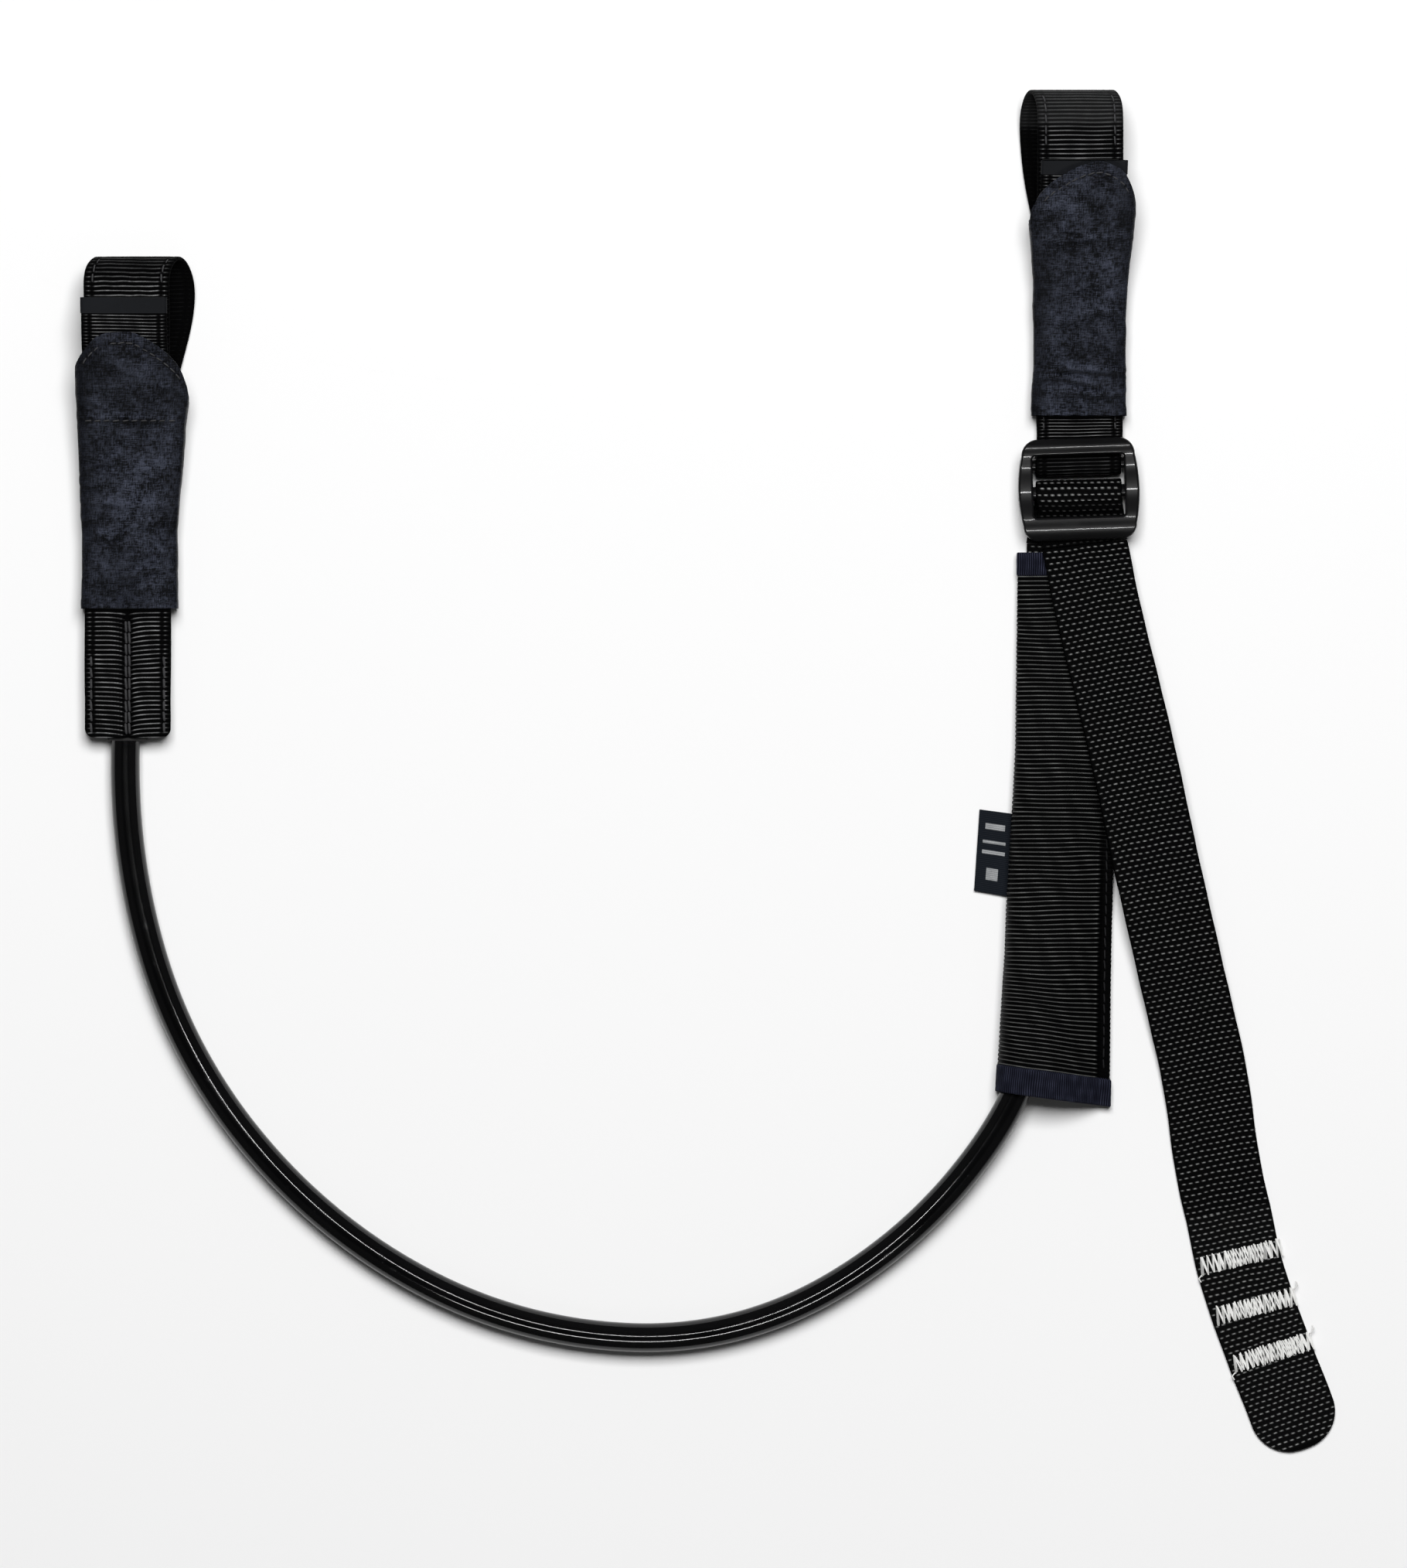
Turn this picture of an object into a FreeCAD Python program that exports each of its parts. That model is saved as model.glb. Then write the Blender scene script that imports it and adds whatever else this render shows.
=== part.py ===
"""Adjustable harness line: a sheathed rope between two boom straps, one of them on a ladder-lock buckle.

Millimetres. The line lies flat: X across it, Y along the straps, Z up from the surface that it lies on.
"""
import FreeCAD, Part
import math
import os

V = FreeCAD.Vector

# Webbing, tape, rope and tube stock
WEB_WIDTH = 25.0
WEB_THICK = 1.3
TAPE_THICK = 0.5
TAPE_WIDTH = 22.0
TUBE_OUTER_RADIUS = 4.25
TUBE_INNER_RADIUS = 2.8
ROPE_RADIUS = 2.6
FLAT_ROPE_WIDTH = 12.0
FLAT_ROPE_THICK = 2.4
ANCHOR_WIDTH = 14.0
ANCHOR_THICK = 1.1
SLEEVE_WALL = 0.4
GROSGRAIN_WALL = 0.55
EDGE_HEIGHT = 3.1
LONG_STITCH = 2.3
LONG_GAP = 0.9
EDGE_STITCH_OFFSETS = (-10.8, 10.8)
THREAD_WIDTH = 0.5
THREAD_HEIGHT = 0.25
THREAD_LIFT = 0.04
TACK_THREAD_HALF_WIDTH = 0.3
TACK_THREAD_HEIGHT = 0.35
TACK_WIDTH = 4.6
TACK_TEETH = 26
SEAL_LENGTH = 2.8
SEAL_THICK = 0.3
TAPE_CLEARANCE = 0.05

# Where the straps stand
LEFT_X = -168.3
LEFT_END_Y = 10.0
LEFT_FLAP_END_Y = 137.9
RIGHT_X = 108.6
RIGHT_FLAP_END_Y = 178.4

# Flattened rope ends, by the middle of the edge where each one starts
LEFT_FLAT_ROPE = V(LEFT_X, LEFT_END_Y - 0.9, 4.25)
RIGHT_FLAT_ROPE = V(99.3, -47.9, 5.05)
FLAT_ROPE_LENGTH = 34.0

# Ladder-lock buckle
BUCKLE_CENTRE = V(108.4, 82.2, 0)
BUCKLE_TURN = 1.9
BUCKLE_LENGTH = 29.5
WINDOW_HALF_WIDTH = 13.3
RIM_LENGTH = 4.7
LIP_LENGTH = 6.75
FIXED_BAR_V = 7.45
FIXED_BAR_Z = 3.5
FIXED_BAR_RADIUS = 1.8
CENTRE_BAR_V = -0.75
CENTRE_BAR_Z = 3.6
CENTRE_BAR_RADIUS = 1.95
BAR_GAP = 0.3

# Grosgrain sleeve over the splice
SLEEVE_TOP_Y = 63.9
SLEEVE_BOTTOM_Y = -95.2
TOP_BINDING_LENGTH = 6.8
BOTTOM_BINDING_LENGTH = 8.0
SLEEVE_LEAN = math.radians(1.36)
STRAND_FOOT_Y = -79.5
STRAND_HEAD_Y = 66.2
STRAND_HEAD_X = 105.7
STRAND_Z = 1.45
SEAM_STITCH_INSET = 2.0
TIP_CORNER_RADIUS = 8.0

# Tail of the load webbing: the middle part gathers, the end part slides
TAIL_AXIS_LEAN = math.radians(11.8)
TAIL_SPLIT_Y = -128.0

# The line's route, as the points whose runs the tube follows
LINE_ROUTE = [
    V(-169, 9, 4.3),
    V(-170, -24, 4.3),
    V(-152, -84, 4.3),
    V(-111, -133, 4.3),
    V(-55, -163, 4.3),
    V(9, -166, 4.3),
    V(64, -134, 4.3),
    V(100, -81, 6.7),
    V(98, -48, 6.8),
]
ARC_SHARE = 0.45

# Centre lines of the straps, as (x offset from the strap, y, z)
LEFT_BACK_AND_LOOP = [
    (0.0, LEFT_END_Y, 2.25), (0.0, 50, 2.25), (0.0, 92, 2.25), (1.2, 110, 1.7), (4.6, 124, 1.0),
    (6.8, 137, 1.5), (6.0, 145.5, 4.4), (3.4, 149.2, 8.6), (0.8, 146.6, 12.6), (0.0, 139.6, 14.1),
    (0.0, 130, 13.1), (0.0, 118, 9.9), (0.0, 106, 6.6), (0.0, 95, 4.7), (0.0, 82, 3.95), (0.0, 60, 3.95),
]
LEFT_FLAP_FOOT = [(0.0, LEFT_END_Y, 6.25), (0.0, 36, 6.25)]
RIGHT_LOOP_AND_FRONT = [
    (0.0, 115, 1.45), (0.0, 140, 1.45), (-0.5, 156, 1.4), (-3.4, 171, 1.1), (-5.0, 185.5, 1.6),
    (-4.4, 193.8, 4.6), (-2.4, 197.6, 8.9), (-0.6, 195.2, 13.0), (0.0, 188.3, 14.7), (0.0, 178, 13.8),
    (0.0, 166, 10.7), (0.0, 154, 6.9), (0.0, 143, 4.1), (0.0, 132, 3.15), (0.0, 120, 3.15),
]
RIGHT_FLAP_FOOT = [(0.0, 104, 3.2), (0.0, 97.8, 2.95), (0.0, 94.0, 3.7)]
CLOSURE_STEP = WEB_THICK + 2 * TAPE_THICK + 4 * TAPE_CLEARANCE
TAIL_ROUTE = [
    (110.1, 66.0, 3.95), (111.0, 61.5, 5.15), (112.7, 53, 6.05), (116.2, 38, 6.7), (125.3, -1, 7.4),
    (133.5, -38, 6.4), (140.5, -68, 3.4), (145.9, -94, 1.3), (149.0, -114, 0.7), (151.9, TAIL_SPLIT_Y, 0.65),
]
TAIL_END_ROUTE = [
    (151.98, TAIL_SPLIT_Y - 0.4), (155.2, -143), (160.2, -158.5), (166.0, -174.5), (171.4, -188.5),
    (174.4, -197.0),
]


def spline(points):
    """Smooth curve through hand-picked points."""
    curve = Part.BSplineCurve()
    curve.interpolate(Points=[V(*p) for p in points])
    return curve


def stations(curve, count):
    """Evenly spaced (point, tangent) pairs along a curve."""
    values = curve.discretize(Number=count)
    return [(p, V(*curve.tangent(curve.parameter(p))[0])) for p in values]


def section(point, tangent, across, width, thickness):
    """Rectangle square to the tangent, with its width along the across direction."""
    normal = across.cross(tangent).normalize()
    side, rise = across * (width / 2), normal * (thickness / 2)
    corners = [point - side - rise, point + side - rise, point + side + rise, point - side + rise]
    return Part.makePolygon(corners + corners[:1])


def turned(degrees):
    """Unit vector along X, turned about Z."""
    angle = math.radians(degrees)
    return V(math.cos(angle), math.sin(angle), 0)


def ribbon(points, width, thickness, count, across_at=lambda point: V(1, 0, 0)):
    """A flat strap along a smooth centre line."""
    wires = []
    for point, tangent in stations(spline(points), count):
        wires.append(section(point, tangent, across_at(point), width, thickness))
    return Part.makeLoft(wires, True, True)


def placed(points, x):
    """Strap points moved to the strap's own X."""
    return [(x + dx, y, z) for dx, y, z in points]


def raised(points, distance):
    """Points moved square to their own line, in the YZ plane, to the side that faces up."""
    moved = []
    for here, (point, tangent) in zip(points, tangents_at(points)):
        rise = V(0, -tangent.z, tangent.y)
        rise.normalize()
        sign = 1 if rise.z > 0 else -1
        moved.append((here[0], here[1] + sign * distance * rise.y, here[2] + sign * distance * rise.z))
    return moved


def tangents_at(points):
    """(point, tangent) of the smooth curve at each of its own points."""
    curve = spline(points)
    return [(V(*p), V(*curve.tangent(curve.parameter(V(*p)))[0])) for p in points]


def point_at_y(points, y):
    """Point of the smooth curve where it crosses a given Y."""
    curve = spline(points)
    samples = curve.discretize(Number=400)
    nearest = min(samples, key=lambda p: abs(p.y - y))
    return (nearest.x, nearest.y, nearest.z)


def rounded_route(points):
    """Straight runs joined by tangent arcs as large as the runs allow. Returns the wire and the radii."""
    edges, radii = [], []
    start = points[0]
    for before, corner, after in zip(points, points[1:], points[2:]):
        back, ahead = (before - corner), (after - corner)
        reach = ARC_SHARE * min(back.Length, ahead.Length)
        half_turn = (math.pi - back.getAngle(ahead)) / 2
        radius = reach / math.tan(half_turn)
        back.normalize()
        ahead.normalize()
        arc_start, arc_end = corner + back * reach, corner + ahead * reach
        bisector = (back + ahead).normalize()
        middle = corner + bisector * (radius / math.cos(half_turn) - radius)
        edges.append(Part.LineSegment(start, arc_start).toShape())
        edges.append(Part.Arc(arc_start, middle, arc_end).toShape())
        radii.append(radius)
        start = arc_end
    edges.append(Part.LineSegment(start, points[-1]).toShape())
    return Part.Wire(edges), radii


def rod_along(points, radius):
    """Round solid swept along a rounded route."""
    wire, radii = rounded_route(points)
    circle = Part.Wire(Part.makeCircle(radius, points[0], points[1] - points[0]))
    return wire.makePipeShell([circle], True, False), wire.Length, radii


def make_line():
    """The tube and the rope inside it."""
    outer, length, radii = rod_along(LINE_ROUTE, TUBE_OUTER_RADIUS)
    bore, _, _ = rod_along(LINE_ROUTE, TUBE_INNER_RADIUS)
    rope, _, _ = rod_along(LINE_ROUTE, ROPE_RADIUS)
    tube = outer.cut(bore)
    expected = math.pi * (TUBE_OUTER_RADIUS ** 2 - TUBE_INNER_RADIUS ** 2) * length
    print("line length", round(length, 1), "radii", [round(r, 1) for r in radii])
    print("tube volume", round(tube.Volume, 1), "section times length", round(expected, 1))
    return tube, rope


def flat_rope(start):
    """Rope end pressed flat, lying along Y from its start upwards."""
    block = Part.makeBox(FLAT_ROPE_WIDTH, FLAT_ROPE_LENGTH, FLAT_ROPE_THICK)
    block.translate(V(start.x - FLAT_ROPE_WIDTH / 2, start.y, start.z - FLAT_ROPE_THICK / 2))
    return block.makeFillet(0.9, [e for e in block.Edges if abs(e.tangentAt(0).y) > 0.9])


def stitch(point, along, up, length):
    """One flat stitch lying on a surface."""
    across = along.cross(up).normalize()
    low = point - along * (length / 2) - across * (THREAD_WIDTH / 2) + up * THREAD_LIFT
    corners = [low, low + along * length, low + along * length + across * THREAD_WIDTH,
               low + across * THREAD_WIDTH, low]
    return Part.Face(Part.makePolygon(corners)).extrude(up * THREAD_HEIGHT)


def stitch_rows(points, lift, offsets, length, gap, low_y, high_y):
    """Rows of stitches on the upper face of a strap, between two values of Y."""
    curve = spline(points)
    pitch = length + gap
    count = int(curve.length() / pitch)
    made = []
    for point, tangent in stations(curve, count):
        rise = V(0, -tangent.z, tangent.y).normalize()
        if rise.z < 0:
            rise = rise * -1
        if low_y <= point.y <= high_y and rise.z > 0.35:
            for offset in offsets:
                made.append(stitch(point + rise * lift + V(offset, 0, 0), tangent, rise, length))
    return Part.Compound(made)


def soft_tube(profiles, wall):
    """Open-ended flattened tube lofted through (y, left, right, height, floor) profiles."""
    def ring(profile, inset):
        y, left, right, height, floor = profile
        low, high, corner = floor + inset, height - inset, 0.5
        x0, x1 = left + inset, right - inset
        corners = [V(x0 + corner, y, low), V(x1 - corner, y, low), V(x1, y, low + corner),
                   V(x1, y, high - corner), V(x1 - corner, y, high), V(x0 + corner, y, high),
                   V(x0, y, high - corner), V(x0, y, low + corner)]
        return Part.makePolygon(corners + corners[:1])
    outer = Part.makeLoft([ring(p, 0) for p in profiles], True, True)
    inner = Part.makeLoft([ring(p, wall) for p in profiles], True, True)
    return outer.cut(inner)


def tongue_cutter(outline, base_y, split_z):
    """Everything above a tongue-shaped outline, and everything behind the tongue above base_y."""
    top = 260.0
    left, right = outline[0][0] - 60, outline[-1][0] + 60
    edge = [V(x, y, -5) for x, y in outline]
    frame = [V(left, edge[0].y, -5)] + edge + [V(right, edge[-1].y, -5), V(right, top, -5), V(left, top, -5)]
    around = Part.Face(Part.makePolygon(frame + frame[:1])).extrude(V(0, 0, 60))
    behind = Part.makeBox(right - left, top - base_y, split_z + 5, V(left, base_y, -5))
    return around.fuse(behind)


LEFT_TONGUE = [(-183.6, 119.0), (-181.0, 121.6), (-178.4, 125.2), (-175.0, 127.3), (-166.8, 127.8),
               (-160.4, 124.2), (-154.8, 119.9), (-152.0, 116.6), (-150.0, 111.4)]
LEFT_SLEEVE_PROFILES = [
    (47.6, -181.9, -153.9, 9.0, 0.0), (70, -181.8, -153.9, 9.0, 0.0), (84, -182.6, -152.8, 9.4, 0.0),
    (98, -183.2, -151.7, 11.2, 0.0), (110, -183.6, -150.2, 13.4, 0.0), (128.5, -184.0, -149.0, 18.2, 0.0),
]
RIGHT_TONGUE = [(93.4, 163.2), (98.0, 169.2), (101.5, 171.8), (108.0, 175.6), (114.3, 177.4),
                (119.7, 175.2), (123.0, 171.8), (125.0, 165.9)]
RIGHT_SLEEVE_PROFILES = [
    (103.7, 94.6, 122.2, 7.2, 0.0), (118, 95.2, 122.0, 7.6, 0.0), (132, 95.2, 122.1, 8.0, 0.0),
    (141, 95.2, 122.6, 8.6, 0.0), (150, 94.7, 123.4, 10.8, 0.0), (163, 93.4, 124.6, 15.0, 0.0),
    (178.5, 92.6, 125.4, 19.4, 0.0),
]


def sleeve_profile(y):
    """Left edge, right edge and crown height of the grosgrain sleeve at a given Y."""
    table = [(63.9, 90.7, 119.4, 2.95), (50, 90.6, 119.3, 4.3), (25, 90.2, 119.1, 5.6), (8, 90.0, 118.9, 7.0),
             (-6, 89.3, 118.8, 9.3), (-38, 87.4, 118.4, 10.2), (-52, 86.9, 118.0, 12.2),
             (-95.2, 84.4, 117.5, 12.6)]
    for (y1, *high), (y0, *low) in zip(table, table[1:]):
        if y0 <= y <= y1:
            share = (y - y0) / (y1 - y0)
            return [a + (b - a) * share for a, b in zip(low, high)]
    return table[-1][1:]


def sleeve_ring(y, inset, skew):
    """Section of the sleeve: flat below, crowned over the line at the left, thin at the seam on the right."""
    left, right, crown = sleeve_profile(y)
    x0, x1, low = left + inset, right - inset, max(inset, 0.0)
    chamfer = 1.8
    middle = (left + right) / 2
    points = [V(x1, 0, low + 0.6), V(x1 - 0.6, 0, low), V(x0 + chamfer, 0, low), V(x0, 0, low + chamfer / 2)]
    steps = 12
    for step in range(steps + 1):
        share = step / steps
        z = EDGE_HEIGHT + (crown - EDGE_HEIGHT) * crown_share(share) - inset
        points.append(V(x0 + (x1 - x0) * share, 0, z))
    ring = [V(p.x, y + skew * (p.x - middle), p.z) for p in points]
    return Part.makePolygon(ring + ring[:1])


def crown_share(share):
    """How far the sleeve's top has risen towards its crown, across the width from left to seam."""
    crown_at_share, seam_share = 0.36, 0.9
    if share < crown_at_share:
        fall = 1 - share / crown_at_share
        return (1 - fall ** 3) ** (1 / 3)
    fall = min((share - crown_at_share) / (seam_share - crown_at_share), 1.0)
    return math.cos(math.pi / 2 * fall) ** 0.9


def sleeve_shell(levels, swell, skews):
    """Open-ended shell between the given Y levels; swell makes it proud of the sleeve."""
    outer = Part.makeLoft([sleeve_ring(y, -swell, k) for y, k in zip(levels, skews)], True, True)
    inner = Part.makeLoft([sleeve_ring(y, GROSGRAIN_WALL, k) for y, k in zip(levels, skews)], True, True)
    return outer.cut(inner)


def make_sleeve():
    """The grosgrain sleeve and the binding tape on its two ends."""
    skew = -0.138
    top_edge = SLEEVE_TOP_Y - TOP_BINDING_LENGTH
    bottom_edge = SLEEVE_BOTTOM_Y + BOTTOM_BINDING_LENGTH
    levels = [top_edge, 50, 25, 8, -6, -38, -52, bottom_edge]
    sleeve = sleeve_shell(levels, 0.0, [0, 0, 0, 0, 0, 0, 0, skew])
    top = sleeve_shell([SLEEVE_TOP_Y, top_edge], 0.2, [0, 0])
    bottom = sleeve_shell([bottom_edge, SLEEVE_BOTTOM_Y], 0.2, [skew, skew])
    return sleeve, top, bottom


def buckle_outline():
    """Rounded outline of the buckle in plan, widest a little above its middle."""
    half = BUCKLE_LENGTH / 2
    right = [V(12.5, half, 0), V(16.5, 10.0, 0), V(17.6, 1.5, 0), V(16.5, -10.3, 0), V(12.9, -half, 0)]
    left = [V(-p.x, p.y, 0) for p in right]
    edges = [
        Part.LineSegment(left[0], right[0]).toShape(),
        Part.Arc(right[0], V(15.5, 12.9, 0), right[1]).toShape(),
        Part.Arc(right[1], right[2], right[3]).toShape(),
        Part.Arc(right[3], V(15.5, -13.2, 0), right[4]).toShape(),
        Part.LineSegment(right[4], left[4]).toShape(),
        Part.Arc(left[4], V(-15.5, -13.2, 0), left[3]).toShape(),
        Part.Arc(left[3], left[2], left[1]).toShape(),
        Part.Arc(left[1], V(-15.5, 12.9, 0), left[0]).toShape(),
    ]
    return Part.Face(Part.Wire(edges))


def buckle_side():
    """Side view of the buckle, in its YZ plane: raised rim, dipped rails, raised lip."""
    half = BUCKLE_LENGTH / 2
    top = [V(0, half, 8.9), V(0, 12.6, 9.9), V(0, 10.2, 9.6), V(0, 6.5, 8.2), V(0, 2.4, 7.5), V(0, -3.0, 7.7),
           V(0, -8.2, 8.7), V(0, -12.6, 7.9), V(0, -half, 6.0)]
    under = [V(0, -half, 4.9), V(0, -8.0, 4.7), V(0, -5.4, 1.9), V(0, -2.0, 0.5), V(0, 4.5, 0.5),
             V(0, 8.2, 2.1), V(0, 9.3, 4.9), V(0, 10.2, 6.4), V(0, 11.6, 6.7), V(0, half, 6.7)]
    upper, lower = Part.BSplineCurve(), Part.BSplineCurve()
    upper.interpolate(Points=top)
    lower.interpolate(Points=under)
    closing = [Part.LineSegment(top[-1], under[0]).toShape(), Part.LineSegment(under[-1], top[0]).toShape()]
    wire = Part.Wire([upper.toShape(), closing[0], lower.toShape(), closing[1]])
    face = Part.Face(wire)
    face.translate(V(-25, 0, 0))
    return face.extrude(V(50, 0, 0))


def make_buckle():
    """Ladder-lock buckle with a fixed bar, a centre bar and a finger lip."""
    half = BUCKLE_LENGTH / 2
    body = buckle_outline().extrude(V(0, 0, 14)).common(buckle_side())
    window_top, window_bottom = half - RIM_LENGTH, -half + LIP_LENGTH
    window = Part.makeBox(2 * WINDOW_HALF_WIDTH, window_top - window_bottom, 20,
                          V(-WINDOW_HALF_WIDTH, window_bottom, -2))
    corners = [e for e in window.Edges if abs(e.tangentAt(0).z) > 0.9]
    body = body.cut(window.makeFillet(1.0, corners))
    bar_span = 2 * WINDOW_HALF_WIDTH + 4
    for v, z, radius in ((FIXED_BAR_V, FIXED_BAR_Z, FIXED_BAR_RADIUS),
                         (CENTRE_BAR_V, CENTRE_BAR_Z, CENTRE_BAR_RADIUS)):
        bar = Part.makeCylinder(radius, bar_span, V(-bar_span / 2, v, z), V(1, 0, 0))
        body = body.fuse(bar)
    body = body.removeSplitter()
    rounded = [e for e in body.Edges if is_outer_edge(e)]
    body = body.makeFillet(0.7, rounded)
    body.rotate(V(0, 0, 0), V(0, 0, 1), BUCKLE_TURN)
    body.translate(BUCKLE_CENTRE)
    return body


def is_outer_edge(edge):
    """Edges where the buckle's side wall meets its upper face."""
    box = edge.BoundBox
    near_top = box.ZMin > 5.8
    on_wall = max(abs(box.XMin), abs(box.XMax)) > 12.0 or abs(box.Center.y) > 12.0
    return near_top and on_wall and edge.Length > 2.0


def buckle_point(v, z, u=0.0):
    """A place on the buckle, from its own frame to the line's."""
    angle = math.radians(BUCKLE_TURN)
    return (BUCKLE_CENTRE.x + u * math.cos(angle) - v * math.sin(angle),
            BUCKLE_CENTRE.y + v * math.cos(angle) + u * math.sin(angle), z)


def eased(value, low, high):
    """0 below low, 1 above high, smooth between."""
    share = min(max((value - low) / (high - low), 0.0), 1.0)
    return share * share * (3 - 2 * share)


def strap_across(point):
    """Across direction of the right strap: along the fixed bar at the buckle, along X above it."""
    return turned(BUCKLE_TURN * (1 - eased(point.y, 93, 106)))


def right_strap_points():
    """Flap, turn round the fixed bar, back strand, boom loop and front strand as one route."""
    front = placed(RIGHT_LOOP_AND_FRONT, RIGHT_X)
    flap_end = point_at_y(front[9:], RIGHT_FLAP_END_Y)
    covered = [flap_end] + [p for p in front[10:] if p[1] > 124]
    flap = raised(covered, CLOSURE_STEP)
    foot = placed([(0.0, 116, 4.75)] + RIGHT_FLAP_FOOT, RIGHT_X)
    reach = FIXED_BAR_RADIUS + BAR_GAP + WEB_THICK / 2
    turn = []
    for degrees in (75, 110, 145, 180, 215, 250, 280):
        angle = math.radians(degrees)
        v, z = FIXED_BAR_V + reach * math.cos(angle), FIXED_BAR_Z + reach * math.sin(angle)
        turn.append(buckle_point(v, z))
    back = placed([(0.0, 94.5, 1.2), (0.0, 104, 1.4)], RIGHT_X)
    return flap + foot + turn + back + front


def wrap_points():
    """Load webbing from the sleeve's mouth, over the centre bar and out under the lip."""
    reach = CENTRE_BAR_RADIUS + BAR_GAP + WEB_THICK / 2
    over = []
    for degrees in (-50, 10, 75, 130):
        angle = math.radians(degrees)
        v, z = CENTRE_BAR_V + reach * math.cos(angle), CENTRE_BAR_Z + reach * math.sin(angle)
        over.append(buckle_point(v, z))
    rise = [(STRAND_HEAD_X, STRAND_HEAD_Y + 0.2, STRAND_Z), (106.5, 70.5, STRAND_Z),
            (107.8, 77.0, STRAND_Z - 0.05)]
    fall = [(109.1, 75.0, 3.75), (109.6, 70.8, 3.3), (110.05, 66.3, 3.9)]
    return rise + over + fall


def wrap_across(point):
    """Across direction of the wrapped webbing: square to each run where it leaves the buckle."""
    if point.z < 2.2:
        return turned(-math.degrees(SLEEVE_LEAN) + (BUCKLE_TURN + 1.36) * eased(point.y, 66, 78))
    return turned(BUCKLE_TURN + 5.0 * (1 - eased(point.y, 66, 75)))


def tail_across(point):
    """Across direction of the tail: square to the slide's axis where its two parts meet."""
    lean = math.degrees(TAIL_AXIS_LEAN)
    head = (BUCKLE_TURN + 5.0 - lean) * eased(point.y, 50, 66)
    foot = 7.5 * eased(-point.y, 136, 172)
    return turned(lean + head + foot)


def make_load_strand():
    """Straight strand from the buckle's mouth down inside the sleeve."""
    length = STRAND_HEAD_Y - STRAND_FOOT_Y
    block = Part.makeBox(WEB_WIDTH, length, WEB_THICK, V(-WEB_WIDTH / 2, -length, -WEB_THICK / 2))
    block.rotate(V(0, 0, 0), V(0, 0, 1), -math.degrees(SLEEVE_LEAN))
    block.translate(V(STRAND_HEAD_X, STRAND_HEAD_Y, STRAND_Z))
    return block


def make_tail_end():
    """End part of the tail, flat on the surface, with its rounded tip."""
    places = [V(x, y, 0) for x, y in TAIL_END_ROUTE]
    sides = [[p + tail_across(p) * (side * WEB_WIDTH / 2) for p in places] for side in (-1, 1)]
    left, right = spline(sides[0]).toShape(), spline(sides[1]).toShape()
    ends = [Part.LineSegment(sides[0][k], sides[1][k]).toShape() for k in (0, -1)]
    outline = Part.Wire(Part.__sortEdges__([left, ends[1], right, ends[0]]))
    strap = Part.Face(outline).extrude(V(0, 0, WEB_THICK))
    tip, before = places[-1], places[-2]
    corner, half = TIP_CORNER_RADIUS, WEB_WIDTH / 2
    plan = Part.makeBox(2 * half + 60, 120, 8, V(-half - 30, corner, -2))
    plan = plan.fuse(Part.makeBox(2 * (half - corner), corner + 1, 8, V(corner - half, 0, -2)))
    for side in (-1, 1):
        plan = plan.fuse(Part.makeCylinder(corner, 8, V(side * (half - corner), corner, -2)))
    lean = math.degrees(math.atan2(tip.x - before.x, before.y - tip.y))
    plan.rotate(V(0, 0, 0), V(0, 0, 1), lean)
    plan.translate(V(tip.x, tip.y, 0))
    return strap.common(plan)


def zigzag(start, end, width, teeth):
    """One zigzag bar tack on the tail, from edge to edge."""
    along = (end - start)
    length = along.Length
    along.normalize()
    side = V(-along.y, along.x, 0)
    up = V(0, 0, TACK_THREAD_HEIGHT)
    spine = []
    for tooth in range(teeth + 1):
        swing = (tooth % 2 - 0.5) * width
        spine.append(start + along * (length * tooth / teeth) + side * swing)
    legs = []
    for a, b in zip(spine, spine[1:]):
        run = (b - a).normalize()
        half = V(-run.y, run.x, 0) * TACK_THREAD_HALF_WIDTH
        face = Part.Face(Part.makePolygon([a - half, b - half, b + half, a + half, a - half]))
        legs.append(face.extrude(up))
    return legs[0].multiFuse(legs[1:])


def make_tail_tacks():
    """The three zigzag tacks near the tail's tip."""
    top = WEB_THICK + THREAD_LIFT
    ends = [(V(143.7, -144.2, top), V(167.4, -138.2, top)),
            (V(148.2, -158.6, top), V(171.6, -152.6, top)),
            (V(153.4, -172.6, top), V(176.4, -165.4, top))]
    return Part.Compound([zigzag(a, b, TACK_WIDTH, TACK_TEETH) for a, b in ends])


def make_anchor():
    """Webbing folded over the rope's flat end inside the sleeve, and the stitches through it."""
    fold_y, low_y = RIGHT_FLAT_ROPE.y + FLAT_ROPE_LENGTH + 2.0, RIGHT_FLAT_ROPE.y + 6.0
    x, z, reach = RIGHT_FLAT_ROPE.x, RIGHT_FLAT_ROPE.z, 2.1
    straight = [low_y, (low_y + fold_y) / 2, fold_y - 3.0]
    turn = []
    for degrees in (-90, -50, 0, 50, 90):
        angle = math.radians(degrees)
        turn.append((x, fold_y + reach * math.cos(angle), z + reach * math.sin(angle)))
    lower = [(x, y, z - reach) for y in straight]
    upper = [(x, y, z + reach) for y in straight]
    web = ribbon(lower + turn + list(reversed(upper)), ANCHOR_WIDTH, ANCHOR_THICK, 34)
    stitches = stitch_rows(upper, ANCHOR_THICK / 2, (-5.5, 5.5), 2.4, 0.9, low_y + 2, fold_y - 3)
    return web, stitches


def make_label():
    """Flat woven label that hangs from the sleeve's left edge."""
    corners = [V(79.6, -10.9, 0.1), V(89.4, -12.2, 0.1), V(87.6, -36.2, 0.1), V(78.0, -34.6, 0.1)]
    return Part.Face(Part.makePolygon(corners + corners[:1])).extrude(V(0, 0, 0.5))


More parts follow.
